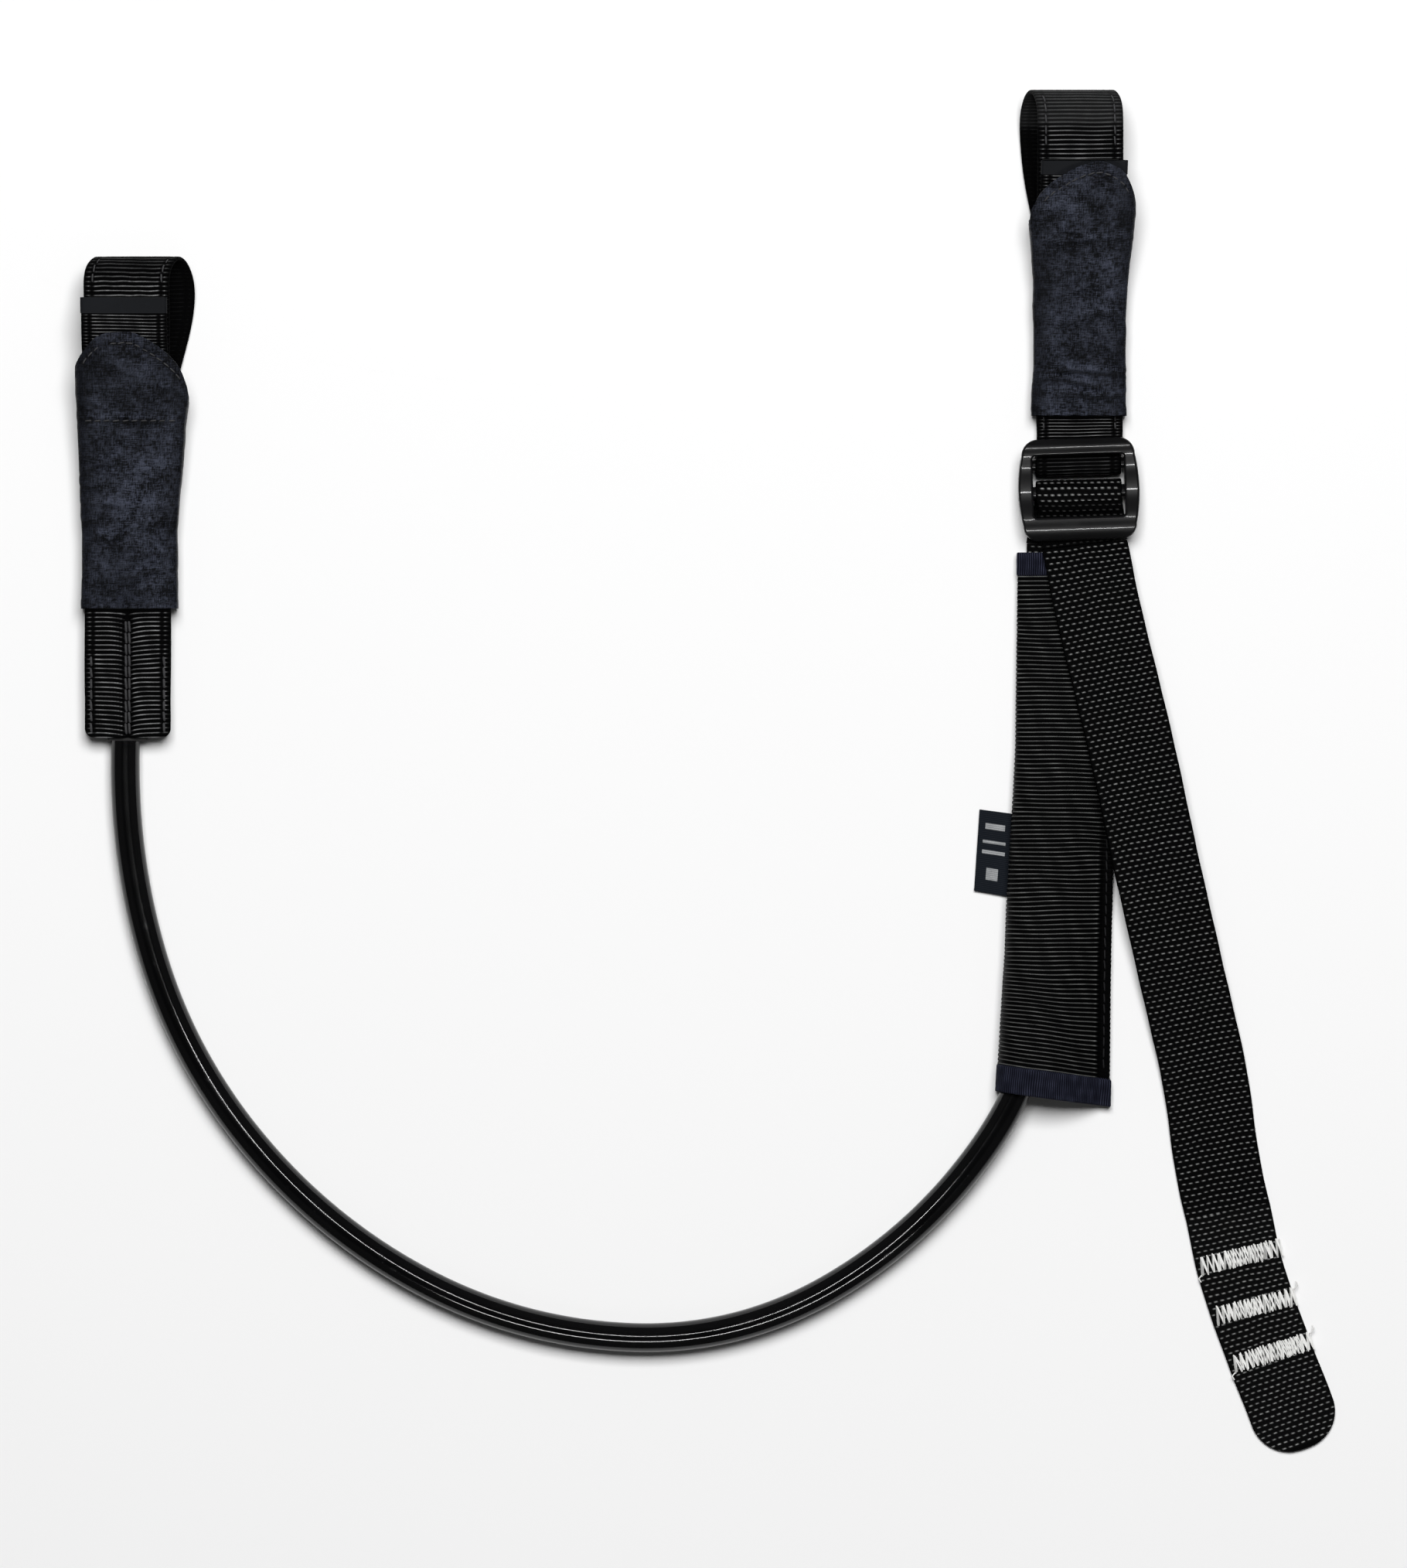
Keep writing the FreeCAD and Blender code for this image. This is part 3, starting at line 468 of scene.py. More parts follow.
@dataclass(frozen=True)
class Route:
    """A smooth line through given points, in millimetres."""

    points: tuple[Point, ...]

    def fine(self, steps: int = 40) -> np.ndarray:
        """Closely spaced points on the natural cubic spline through the route's points."""
        known = np.array(self.points, float)
        run = np.linalg.norm(np.diff(known, axis=0), axis=1)
        count = len(known)
        left, right = np.eye(count), np.zeros((count, 3))
        for i in range(1, count - 1):
            left[i, i - 1: i + 2] = run[i - 1], 2 * (run[i - 1] + run[i]), run[i]
            right[i] = 6 * ((known[i + 1] - known[i]) / run[i] - (known[i] - known[i - 1]) / run[i - 1])
        bend = np.linalg.solve(left, right)
        share = np.linspace(0, 1, steps, endpoint=False)[:, None]
        pieces = []
        for i, length in enumerate(run):
            a, b = 1 - share, share
            curve = (a ** 3 - a) * bend[i] + (b ** 3 - b) * bend[i + 1]
            pieces.append(a * known[i] + b * known[i + 1] + curve * length ** 2 / 6)
        return np.vstack([*pieces, known[-1:]])

    def length(self) -> float:
        """Length of the line."""
        return float(np.linalg.norm(np.diff(self.fine(), axis=0), axis=1).sum())

    def at(self, distances: np.ndarray) -> tuple[np.ndarray, np.ndarray]:
        """Places and directions at distances along the line.

        Args:
            distances: how far along, in millimetres; past the ends the line runs straight on.

        Returns:
            Points and unit tangents.
        """
        line = self.fine()
        gone = np.concatenate([[0], np.cumsum(np.linalg.norm(np.diff(line, axis=0), axis=1))])
        reach = 0.05
        inside = np.clip(distances, 0, gone[-1])

        def place(where: np.ndarray) -> np.ndarray:
            """Points at distances that are on the line."""
            return np.stack([np.interp(where, gone, line[:, axis]) for axis in range(3)], axis=1)

        ahead, behind = np.clip(inside + reach, 0, gone[-1]), np.clip(inside - reach, 0, gone[-1])
        tangent = place(ahead) - place(behind)
        tangent /= np.linalg.norm(tangent, axis=1, keepdims=True)
        return place(inside) + tangent * (distances - inside)[:, None], tangent

    def raised(self, distance: float) -> "Route":
        """The line moved square to itself in the YZ plane, to the side that faces up."""
        line = self.fine()
        gone = np.concatenate([[0], np.cumsum(np.linalg.norm(np.diff(line, axis=0), axis=1))])
        known = np.array(self.points, float)
        nearest = [int(np.argmin(np.linalg.norm(line - p, axis=1))) for p in known]
        _, tangent = self.at(gone[nearest])
        rise = np.stack([np.zeros(len(known)), -tangent[:, 2], tangent[:, 1]], axis=1)
        rise *= np.where(rise[:, 2:] < 0, -1.0, 1.0) / np.linalg.norm(rise, axis=1, keepdims=True)
        return Route(tuple(map(tuple, known + rise * distance)))

    def cut_at_y(self, y: float) -> Point:
        """Where the line crosses a given Y."""
        line = self.fine()
        return tuple(line[int(np.argmin(abs(line[:, 1] - y)))])


def deselect() -> None:
    """Leave object mode and select nothing."""
    if bpy.context.object and bpy.context.object.mode != "OBJECT":
        bpy.ops.object.mode_set(mode="OBJECT")
    bpy.ops.object.select_all(action="DESELECT")


def only(piece: bpy.types.Object) -> None:
    """Select and activate one object."""
    deselect()
    piece.select_set(True)
    bpy.context.view_layer.objects.active = piece


def in_edit_mode(piece: bpy.types.Object, *steps: Callable[[], object]) -> None:
    """Run edit-mode operators on the whole of a piece."""
    only(piece)
    bpy.ops.object.mode_set(mode="EDIT")
    bpy.ops.mesh.select_all(action="SELECT")
    for step in steps:
        step()
    bpy.ops.object.mode_set(mode="OBJECT")


def apply_modifiers(piece: bpy.types.Object) -> None:
    """Apply every modifier of a piece."""
    only(piece)
    for modifier in list(piece.modifiers):
        bpy.ops.object.modifier_apply(modifier=modifier.name)


def grid(name: str, columns: int, rows: int) -> bpy.types.Object:
    """A new grid that a skin is laid on, with its points in rows.

    Args:
        name: the piece's name.
        columns: faces along a row.
        rows: faces along a column.
    """
    deselect()
    bpy.ops.mesh.primitive_grid_add(x_subdivisions=columns, y_subdivisions=rows, size=1.0)
    piece = bpy.context.object
    piece.name = piece.data.name = name
    assert len(piece.data.vertices) == (columns + 1) * (rows + 1)
    return piece


def lay(piece: bpy.types.Object, places: np.ndarray, relief: np.ndarray, across: np.ndarray,
        along: np.ndarray, weld: bool = True) -> None:
    """Lay a grid's points in place and store the cloth's own coordinates.

    Args:
        piece: the grid.
        places: rows x columns x 3, in millimetres.
        relief: rows x columns, 0 in a groove and 1 on a crest; for a cloth sleeve, its painted sheen and
            shade.
        across: rows x columns, millimetres across the cloth.
        along: rows x columns, millimetres along the cloth.
        weld: whether edges that meet are joined.
    """
    mesh = piece.data
    mesh.vertices.foreach_set("co", (places.reshape(-1, 3) * MM).astype(np.float32).ravel())
    stored = mesh.attributes.new("relief", "FLOAT", "POINT")
    stored.data.foreach_set("value", relief.astype(np.float32).ravel())
    owner = np.empty(len(mesh.loops), np.int32)
    mesh.loops.foreach_get("vertex_index", owner)
    while mesh.uv_layers:
        mesh.uv_layers.remove(mesh.uv_layers[0])
    cloth = mesh.uv_layers.new(name="cloth")
    flat = np.stack([across.ravel(), along.ravel()], axis=1)[owner]
    cloth.data.foreach_set("uv", flat.astype(np.float32).ravel())
    mesh.update()
    if weld:
        in_edit_mode(piece, lambda: bpy.ops.mesh.remove_doubles(threshold=0.000004),
                     lambda: bpy.ops.mesh.normals_make_consistent(inside=False))


def smooth(piece: bpy.types.Object, degrees: float = 50.0) -> None:
    """Shade a piece smooth, apart from its sharp edges."""
    only(piece)
    bpy.ops.object.shade_smooth_by_angle(angle=math.radians(degrees))


def dress(piece: bpy.types.Object, material: bpy.types.Material, slot: str, body: str | None,
          *nodes: str) -> bpy.types.Object:
    """Give a piece its material, its body and the nodes it stands for."""
    piece.data.materials.clear()
    piece.data.materials.append(material)
    if body:
        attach(piece, body)
    if nodes:
        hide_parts(*nodes)
    LOG.info("%s on %s for %s", piece.name, body or "two bodies", ", ".join(nodes) or "no node")
    return piece


def repaint(node: str, material: bpy.types.Material) -> None:
    """Give a CAD node that stays a better material."""
    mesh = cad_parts[node].data
    mesh.materials.clear()
    mesh.materials.append(material)
    LOG.info("%s keeps its CAD shape", node)


# ---------------------------------------------------------------- soft pieces


class Wander:
    """Slow seeded waviness in two directions."""

    def __init__(self, seed: int, waves: int = 6) -> None:
        """Choose the waves.

        Args:
            seed: start of the random numbers.
            waves: how many waves are added up.
        """
        rng = np.random.default_rng(seed)
        self.across = rng.normal(0, 1, waves)
        self.along = rng.normal(0, 1, waves)
        self.phase = rng.uniform(0, 2 * math.pi, waves)
        self.share = 1 / math.sqrt(waves)

    def at(self, across: np.ndarray, along: np.ndarray, run: float) -> np.ndarray:
        """Height of the waves, about 1 at most.

        Args:
            across: millimetres across.
            along: millimetres along.
            run: how many millimetres a wave takes.
        """
        total = np.zeros(np.broadcast(across, along).shape)
        for a, b, phase in zip(self.across, self.along, self.phase):
            total += np.sin(2 * math.pi * (a * across + b * along) / run + phase)
        return total * self.share


@dataclass(frozen=True)
class Strap:
    """A flat woven strap along a route.

    Attributes:
        name: the piece's name.
        route: its centre line.
        across: gives the way across the strap at each point.
        weave: how its surface stands up.
        pitches: the ribs' spacing at distances along the route.
        thick: its thickness.
        width: its width.
        outer: 1 or -1, for the side of the route that the finer columns are on.
        columns: faces across the outer side.
        under_columns: faces across the under side.
        rows_per_rib: faces along one rib.
        relief: how far a crest stands up.
        tip_corner: radius of the corners at the route's end.
        foot_corner: radius of the corners at the route's start.
        sealed: length of the melted end.
        groove: where the sewn groove along the middle ends, and how deep it is.
        phase_start: how many ribs come before the route's start, for a pattern that goes on.
        inner: 1 or -1 for the side whose crests are lower, partly as painted shade on the loop's inner face,
            or 0 for neither.
        dull_from: values of Y between which the weave goes flat.
        dulled: how far it goes flat, and the crest that it goes to.
        fade: share of the crests at values of Y: painted shade below 1, painted highlight above 1.
        seed: start of the random numbers.
    """

    RIB_SHARPNESS = 1.4
    CHANNEL_AT, CHANNEL_WIDTH, CHANNEL_DEPTH = 10.0, 0.4, 0.45
    SELVAGE, SELVAGE_DROP = (11.3, 12.2), 0.45
    FLOAT_SPACING, FLOAT_HALF_LENGTH, FLOAT_HALF_HEIGHT = 1.94, 0.58, 0.21
    FLOAT_BASE, FLOAT_EDGE, UNDER_RIBS = 0.07, (11.6, 12.3), 0.4
    # The inner share lowers the crests on the loop's inner face, also as painted shade.
    PLAIN_CREST, INNER_SHARE, SEALED_CREST = 0.25, 0.62, 0.05
    SWAY, SWAY_RUN = 0.1, 45.0
    GROOVE_FADE, GROOVE_HALF, GATHER_HALF, GATHER_SHIFT = 4.0, 1.15, 2.2, 0.9
    CORE_SHARE = 0.72

    name: str
    route: Route
    across: Callable[[np.ndarray], np.ndarray]
    weave: Weave
    pitches: tuple[tuple[float, float], ...] = ((0.0, 1.3),)
    thick: float = WEB_THICK
    width: float = WEB_WIDTH
    outer: float = 1.0
    columns: int = 26
    under_columns: int = 26
    rows_per_rib: int = 6
    relief: float = 0.26
    tip_corner: float = 0.0
    foot_corner: float = 0.0
    sealed: float = 0.0
    groove: tuple[float, float] = (0.0, 0.0)
    phase_start: float = 0.0
    inner: float = 0.0
    dull_from: tuple[float, float] = (1000.0, 1001.0)
    dulled: tuple[float, float] = (0.45, 0.58)
    fade: tuple[tuple[float, float], ...] = ((0.0, 1.0),)
    seed: int = 1

    def section(self) -> tuple[np.ndarray, np.ndarray]:
        """Places round the section, as shares of the half width and of the half thickness."""
        share = np.linspace(-1, 1, self.columns + 1)
        edge = np.radians([60, 20, -20, -60])
        bulge = self.thick / self.width
        flat = 1 - bulge
        side = flat + bulge * np.cos(edge)
        under = np.linspace(1, -1, self.under_columns + 1)
        u = np.concatenate([share * flat, side, under * flat, -side, [-flat]])
        h = np.concatenate([np.ones(share.size), np.sin(edge), -np.ones(under.size), -np.sin(edge), [1.0]])
        return u, h

    def rows(self, length: float) -> tuple[np.ndarray, np.ndarray]:
        """Each row's count of ribs from the start, and its distance along the route."""
        fine = np.linspace(0, length, 2000)
        known, pitch = np.array(self.pitches).T
        ribs = np.concatenate([[0], np.cumsum(np.diff(fine) / np.interp(fine[1:], known, pitch))])
        phase = np.linspace(0, ribs[-1], int(ribs[-1] * self.rows_per_rib) + 1)
        return phase, np.interp(phase, ribs, fine)

    def crests(self, u: np.ndarray, s: np.ndarray, phase: np.ndarray, upper: np.ndarray) -> np.ndarray:
        """How far each place stands up, from 0 in a groove to 1 on a crest.

        Args:
            u: millimetres across.
            s: millimetres along.
            phase: ribs along.
            upper: whether the place is on the outer side.
        """
        wander = Wander(self.seed)
        shifted = phase + 0.07 * wander.at(u, s, 14.0) + 0.12 * wander.at(u, s, 60.0)
        ribs = (0.5 + 0.5 * np.cos(2 * math.pi * shifted)) ** self.RIB_SHARPNESS
        channel = 1 - self.CHANNEL_DEPTH * np.exp(-((abs(u) - self.CHANNEL_AT) / self.CHANNEL_WIDTH) ** 2)
        selvage = 1 - self.SELVAGE_DROP * eased(abs(u), *self.SELVAGE)
        uneven = 0.95 + 0.05 * wander.at(u * 1.7, s, 9.0)
        if self.weave is Weave.PLAIN:
            return self.PLAIN_CREST * uneven
        if self.weave is Weave.RIBBED:
            return np.clip(ribs * channel * selvage * uneven, 0, 1)
        floats = self.floats(u, shifted) * uneven * (1 - eased(abs(u), *self.FLOAT_EDGE))
        floats = self.FLOAT_BASE + (1 - self.FLOAT_BASE) * floats
        return np.clip(np.where(upper, floats, self.UNDER_RIBS * ribs * selvage), 0, 1)

    def floats(self, u: np.ndarray, phase: np.ndarray) -> np.ndarray:
        """Short floats, each row half a spacing from the next."""
        row = np.floor(phase)
        place = u / self.FLOAT_SPACING + 0.5 * (row % 2)
        du = (place - np.floor(place) - 0.5) * self.FLOAT_SPACING
        ds = (phase - row - 0.5) * self.pitches[0][1]
        return np.exp(-(abs(du) / self.FLOAT_HALF_LENGTH) ** 4 - (abs(ds) / self.FLOAT_HALF_HEIGHT) ** 3)

    def softened(self, crest: np.ndarray, y: np.ndarray, rise: np.ndarray) -> np.ndarray:
        """Crests lowered: as painted shade on the inner side, flatter where the weave goes flat, and scaled by
        Y as painted shade or highlight.
        """
        crest = crest * np.where(rise * self.inner > 0, self.INNER_SHARE, 1.0)
        share, level = self.dulled
        dull = share * eased(y, *self.dull_from)
        return (crest * (1 - dull) + level * dull) * np.interp(y, *np.array(self.fade).T)

    def half_width(self, distance: np.ndarray, length: float) -> np.ndarray:
        """Half the strap's width at distances along it, narrower where a corner is rounded."""
        half = np.full_like(distance, self.width / 2)
        for corner, away in ((self.tip_corner, length - distance), (self.foot_corner, distance)):
            inside = np.clip(corner - away, 0, corner)
            half -= corner - np.sqrt(corner ** 2 - inside ** 2)
        return half

    def build(self) -> bpy.types.Object:
        """Make the mesh.

        Returns:
            The strap, in place.
        """
        length = self.route.length()
        phase, distance = self.rows(length)
        point, tangent = self.route.at(distance)
        across = self.across(point)
        normal = np.cross(across, tangent)
        normal *= self.outer / np.linalg.norm(normal, axis=1, keepdims=True)
        share, rise = self.section()
        u = share[None, :] * self.half_width(distance, length)[:, None]
        s = np.broadcast_to(distance[:, None], u.shape)
        end, depth = self.groove
        gathered = (1 - eased(s, end - self.GROOVE_FADE, end)) * (rise > 0) if depth else np.zeros(u.shape)
        pull = self.GATHER_SHIFT * gathered * np.exp(-abs(u) / self.GATHER_HALF)
        crest = self.crests(u, s, phase[:, None] + self.phase_start + pull, rise[None, :] > 0)
        crest = self.softened(crest, point[:, 1:2], rise)
        if self.sealed:
            melt = length - self.sealed
            crest = crest * (1 - eased(s, melt, melt + 0.8)) + self.SEALED_CREST
        crest = crest * (1 - 0.75 * gathered * np.exp(-(u / 0.9) ** 2))
        dip = depth * np.exp(-(u / self.GROOVE_HALF) ** 2) * gathered
        lift = rise[None, :] * (self.thick / 2 + self.relief * (crest - self.CORE_SHARE) - dip)
        sway = self.SWAY * Wander(self.seed + 50).at(np.zeros_like(distance), distance, self.SWAY_RUN)
        places = (point[:, None, :] + across[:, None, :] * (u + sway[:, None])[..., None]
                  + normal[:, None, :] * lift[..., None])
        piece = grid(self.name, share.size - 1, len(phase) - 1)
        # the crests are stored as relief, which the webbing's material paints as a glint on the crests
        lay(piece, places, crest, u + 40 * (rise[None, :] < 0), s)
        in_edit_mode(piece, lambda: bpy.ops.mesh.select_all(action="DESELECT"),
                     lambda: bpy.ops.mesh.select_non_manifold(),
                     lambda: bpy.ops.mesh.fill_holes(sides=0),
                     lambda: bpy.ops.mesh.select_all(action="SELECT"),
                     lambda: bpy.ops.mesh.normals_make_consistent(inside=False))
        smooth(piece, 70)
        return piece


def round_curve(name: str, radius: float, facets: int, steps: int) -> bpy.types.Object:
    """An empty curve with a round section and closed ends.

    Args:
        name: the piece's name.
        radius: the section's radius in millimetres.
        facets: the section's fineness.
        steps: the fineness along a spline.
    """
    curve = bpy.data.curves.new(name, "CURVE")
    curve.dimensions = "3D"
    curve.bevel_depth = radius * MM
    curve.bevel_resolution = facets
    curve.resolution_u = steps
    curve.use_fill_caps = True
    piece = bpy.data.objects.new(name, curve)
    bpy.context.collection.objects.link(piece)
    return piece


def add_spline(piece: bpy.types.Object, kind: str, points: Sequence[Sequence[float]]) -> bpy.types.Spline:
    """Add a spline to a curve.

    Args:
        piece: the curve.
        kind: the spline's type.
        points: its points in millimetres.
    """
    spline = piece.data.splines.new(kind)
    spline.points.add(len(points) - 1)
    for target, (x, y, z) in zip(spline.points, points):
        target.co = (x * MM, y * MM, z * MM, 1.0)
    return spline


def sew(name: str, threads: Sequence[np.ndarray], radius: float) -> bpy.types.Object:
    """Lay round threads along given points.

    Args:
        name: the piece's name.
        threads: for each thread, its points in millimetres.
        radius: the thread's radius in millimetres.

    Returns:
        One mesh with every thread.
    """
    piece = round_curve(name, radius, facets=1, steps=2)
    for points in threads:
        add_spline(piece, "POLY", points)
    only(piece)
    bpy.ops.object.convert(target="MESH")
    piece = bpy.context.object
    smooth(piece, 60)
    return piece


def straight_up(count: int) -> np.ndarray:
    """The way up, for every point of a line."""
    return np.tile([0.0, 0.0, 1.0], (count, 1))


def stitches_along(points: np.ndarray, up: np.ndarray, length: float, gap: float,
                   seed: int) -> list[np.ndarray]:
    """Stitches that lie on a line and dip at their ends.

    Args:
        points: the line, closely spaced.
        up: the way out of the surface at each point.
        length: a stitch's length.
        gap: the space between two stitches.
        seed: start of the random numbers.
    """
    rng = np.random.default_rng(seed)
    gone = np.concatenate([[0], np.cumsum(np.linalg.norm(np.diff(points, axis=0), axis=1))])
    share = np.array([0, 0.12, 0.35, 0.65, 0.88, 1.0])
    lift = np.array([-0.28, 0.02, 0.12, 0.12, 0.02, -0.28])
    threads = []
    for start in np.arange(0.2, gone[-1] - length, length + gap):
        where = start + length * share + rng.normal(0, 0.06)
        place = np.stack([np.interp(where, gone, points[:, k]) for k in range(3)], axis=1)
        out = np.stack([np.interp(where, gone, up[:, k]) for k in range(3)], axis=1)
        side = np.cross(out, place[-1] - place[0])
        side /= np.linalg.norm(side, axis=1, keepdims=True)
        slant = side * np.linspace(-1, 1, share.size)[:, None] * rng.normal(0.1, 0.05)
        threads.append(place + out * lift[:, None] + slant)
    return threads


def stitches_on(route: Route, lift: float, offsets: Sequence[float], low_y: float, high_y: float,
                length: float, gap: float, seed: int) -> list[np.ndarray]:
    """Rows of stitches on the upper face of a strap.

    Args:
        route: the strap's route.
        lift: from the route up to the face.
        offsets: each row's place across the strap.
        low_y: where the rows begin.
        high_y: where the rows end.
        length: a stitch's length.
        gap: the space between two stitches.
        seed: start of the random numbers, one on for each row.
    """
    distance = np.linspace(0, route.length(), 900)
    point, tangent = route.at(distance)
    up = np.cross(np.tile([1.0, 0.0, 0.0], (len(point), 1)), tangent)
    up *= np.where(up[:, 2:] < 0, -1.0, 1.0)
    inside = (point[:, 1] >= low_y) & (point[:, 1] <= high_y) & (up[:, 2] > 0.35)
    rows = []
    for count, offset in enumerate(offsets):
        line = point[inside] + up[inside] * lift + np.array([offset, 0, 0])
        rows += stitches_along(line, up[inside], length, gap, seed + count)
    return rows


@dataclass(frozen=True)
class RipstopSleeve:
    """Loose cloth sleeve over a closure, with a tongue at its upper end.

    Attributes:
        name: the piece's name.
        profiles: Y, left edge, right edge and height, from the lower end up.
        tongue: the tongue's outline, as X and Y.
        base_y: where the tongue begins.
        seed: start of the random numbers.
        creases: long folds, each as its Y, depth, slope, middle across and reach across.
        squareness: how near the section comes to a box.
        shoulder: radius of the upper corners.
        wrinkles: how many short wrinkles are added.
    """

    COLUMNS, ROWS = 150, 150
    HALF_WIDTH, HALF_HEIGHT, WAY_ROUND = 14, 5, 76.0
    FRONT_FROM = (-0.25, 0.75)
    HEM_REACH, HEM_RISE = (3.0, 3.7), 0.28
    FOOT_REACH, FOOT_RISE = (2.2, 2.8), 0.22
    SEAM_INSET, SEAM_HALF, SEAM_DIP = 3.2, 0.35, 0.2
    FLARE, FLARE_REACH, FLARE_WAVE = 0.7, 9.0, 3.1
    CLOTH_THICK, CLEARANCE = 0.3, 0.02

    name: str
    profiles: tuple[tuple[float, float, float, float], ...]
    tongue: tuple[tuple[float, float], ...]
    base_y: float
    seed: int
    creases: tuple[tuple[float, float, float, float, float], ...] = ()
    squareness: float = 8.0
    shoulder: float = 3.6
    wrinkles: int = 16

    def profile(self, y: np.ndarray) -> tuple[np.ndarray, np.ndarray, np.ndarray]:
        """Middle, half width and height at values of Y."""
        known = np.array(self.profiles)
        left, right, height = (np.interp(y, known[:, 0], known[:, k]) for k in (1, 2, 3))
        return (left + right) / 2, (right - left) / 2, height

    def ring(self, count: int) -> tuple[np.ndarray, np.ndarray]:
        """Evenly spaced places round a rounded box, from -1 to 1 both ways, starting underneath."""
        angle = np.linspace(-math.pi / 2, 1.5 * math.pi, 4000)
        power = 2 / self.squareness
        x = np.sign(np.cos(angle)) * abs(np.cos(angle)) ** power
        z = np.sign(np.sin(angle)) * abs(np.sin(angle)) ** power
        gone = np.concatenate(
            [[0], np.cumsum(np.hypot(np.diff(x) * self.HALF_WIDTH, np.diff(z) * self.HALF_HEIGHT))])
        where = np.linspace(0, gone[-1], count + 1)
        return np.interp(where, gone, x), np.interp(where, gone, z)

    def tongue_y(self, x: np.ndarray) -> np.ndarray:
        """Upper end of the sleeve's front at values of X."""
        known = np.array(self.tongue)
        near = [np.interp(x + step, known[:, 0], known[:, 1]) for step in np.linspace(-2.2, 2.2, 9)]
        return np.mean(near, axis=0) - self.shoulder_drop(x)

    def shoulder_drop(self, x: np.ndarray) -> np.ndarray:
        """How far the upper end falls short near the two sides."""
        edge = np.minimum(x - self.tongue[0][0], self.tongue[-1][0] - x)
        inside = np.clip(self.shoulder - edge, 0, self.shoulder)
        return self.shoulder - np.sqrt(self.shoulder ** 2 - inside ** 2)

    def top_at(self, x: np.ndarray, y: np.ndarray) -> np.ndarray:
        """Height of the sleeve's front."""
        middle, half, height = self.profile(y)
        share = np.clip(abs(x - middle) / half, 0, 0.999)
        return height / 2 * (1 + (1 - share ** self.squareness) ** (1 / self.squareness))

    def small_creases(self) -> list[tuple[float, float, float, float, float]]:
        """Short seeded wrinkles, each as its Y, depth, slope, middle across and reach across."""
        rng = np.random.default_rng(self.seed)
        low, high = self.profiles[0][0] + 4, self.base_y + 4
        return [(rng.uniform(low, high), rng.uniform(0.14, 0.34), rng.normal(0, 0.3),
                 rng.uniform(-0.8, 0.8), rng.uniform(0.18, 0.45)) for _ in range(self.wrinkles)]

    def folds(self, ring_x: np.ndarray, y: np.ndarray, wander: Wander) -> np.ndarray:
        """Height of every fold, each a dip beside a low ridge."""
        total = np.zeros(y.shape)
        for fold_y, depth, slope, middle, reach in (*self.creases, *self.small_creases()):
            lean = slope * ring_x * self.HALF_WIDTH
            off = y - fold_y - lean - 0.8 * wander.at(ring_x * 10, y * 0.2, 30.0)
            part = depth * np.exp(-(abs(ring_x - middle) / reach) ** 3)
            total += part * (0.8 * np.exp(-((off - 1.3) / 1.0) ** 2) - np.exp(-(off / 0.6) ** 2))
        return total

    def sheen(self, ring_x: np.ndarray, y: np.ndarray, folds: np.ndarray, wander: Wander) -> np.ndarray:
        """Painted light and shade of the cloth: painted sheen on ridges, painted shade in dips, towards its
        sides and more on its left.
        """
        # painted shade towards both sides, and more on the left
        sides = (1 - 0.5 * eased(abs(ring_x), 0.6, 0.98)) * (0.7 + 0.3 * eased(ring_x, -1.0, -0.35))
        return np.clip(sides * (1.0 + 1.7 * folds + 0.3 * wander.at(ring_x * 9, y * 0.7, 30.0)), 0.1, 2.0)

    def build(self) -> bpy.types.Object:
        """Make the sleeve."""
        first_y = self.profiles[0][0]
        cx, cz = self.ring(self.COLUMNS)
        end_middle, end_half, _ = self.profile(np.array([self.base_y + 8]))
        front = eased(cz, *self.FRONT_FROM)
        end_x = end_middle + cx * end_half
        end = self.base_y + (self.tongue_y(end_x) - self.base_y) * front
        end -= self.shoulder_drop(end_x) * (1 - front)
        share = np.linspace(0, 1, self.ROWS + 1)[:, None]
        y = first_y + share * (end - first_y)[None, :]
        middle, half, height = self.profile(y)
        ring_x, ring_z = np.broadcast_to(cx, y.shape), np.broadcast_to(cz, y.shape)
        round_mm = np.broadcast_to(np.linspace(0, 1, self.COLUMNS + 1) * self.WAY_ROUND, y.shape)
        wander = Wander(self.seed)
        soft = (0.34 * wander.at(ring_x * 14, y, 26.0) + 0.14 * wander.at(y * 0.6, ring_x * 20, 11.0)
                + 0.07 * wander.at(ring_x * 11, y * 1.5, 6.0))
        from_end = end[None, :] - y
        hem = self.HEM_RISE * (1 - eased(from_end, *self.HEM_REACH))
        hem += self.FOOT_RISE * (1 - eased(y - first_y, *self.FOOT_REACH))
        hem -= self.SEAM_DIP * np.exp(-((from_end - self.SEAM_INSET) / self.SEAM_HALF) ** 2)
        flare = self.FLARE / 2 * eased(-from_end, -self.FLARE_REACH, 0.0) * front[None, :]
        flare = flare * (0.4 + 0.6 * np.sin(round_mm / self.FLARE_WAVE) ** 2)
        folds = self.folds(ring_x, y, wander)
        out = (soft + folds + hem + flare) * eased(ring_z, -0.98, -0.6)
        size = np.hypot(ring_x, ring_z)
        x = middle + half * ring_x + np.maximum(out, -0.05) * ring_x / size * 0.5
        z = height / 2 * (1 + ring_z) + out * np.clip(ring_z, -0.2, 1) / size + self.CLEARANCE
        tuck = 0.05 * wander.at(ring_x * 12, y, 6.0)
        places = np.stack([x, y + tuck, np.maximum(z, self.CLEARANCE)], axis=-1)
        piece = grid(self.name, self.COLUMNS, self.ROWS)
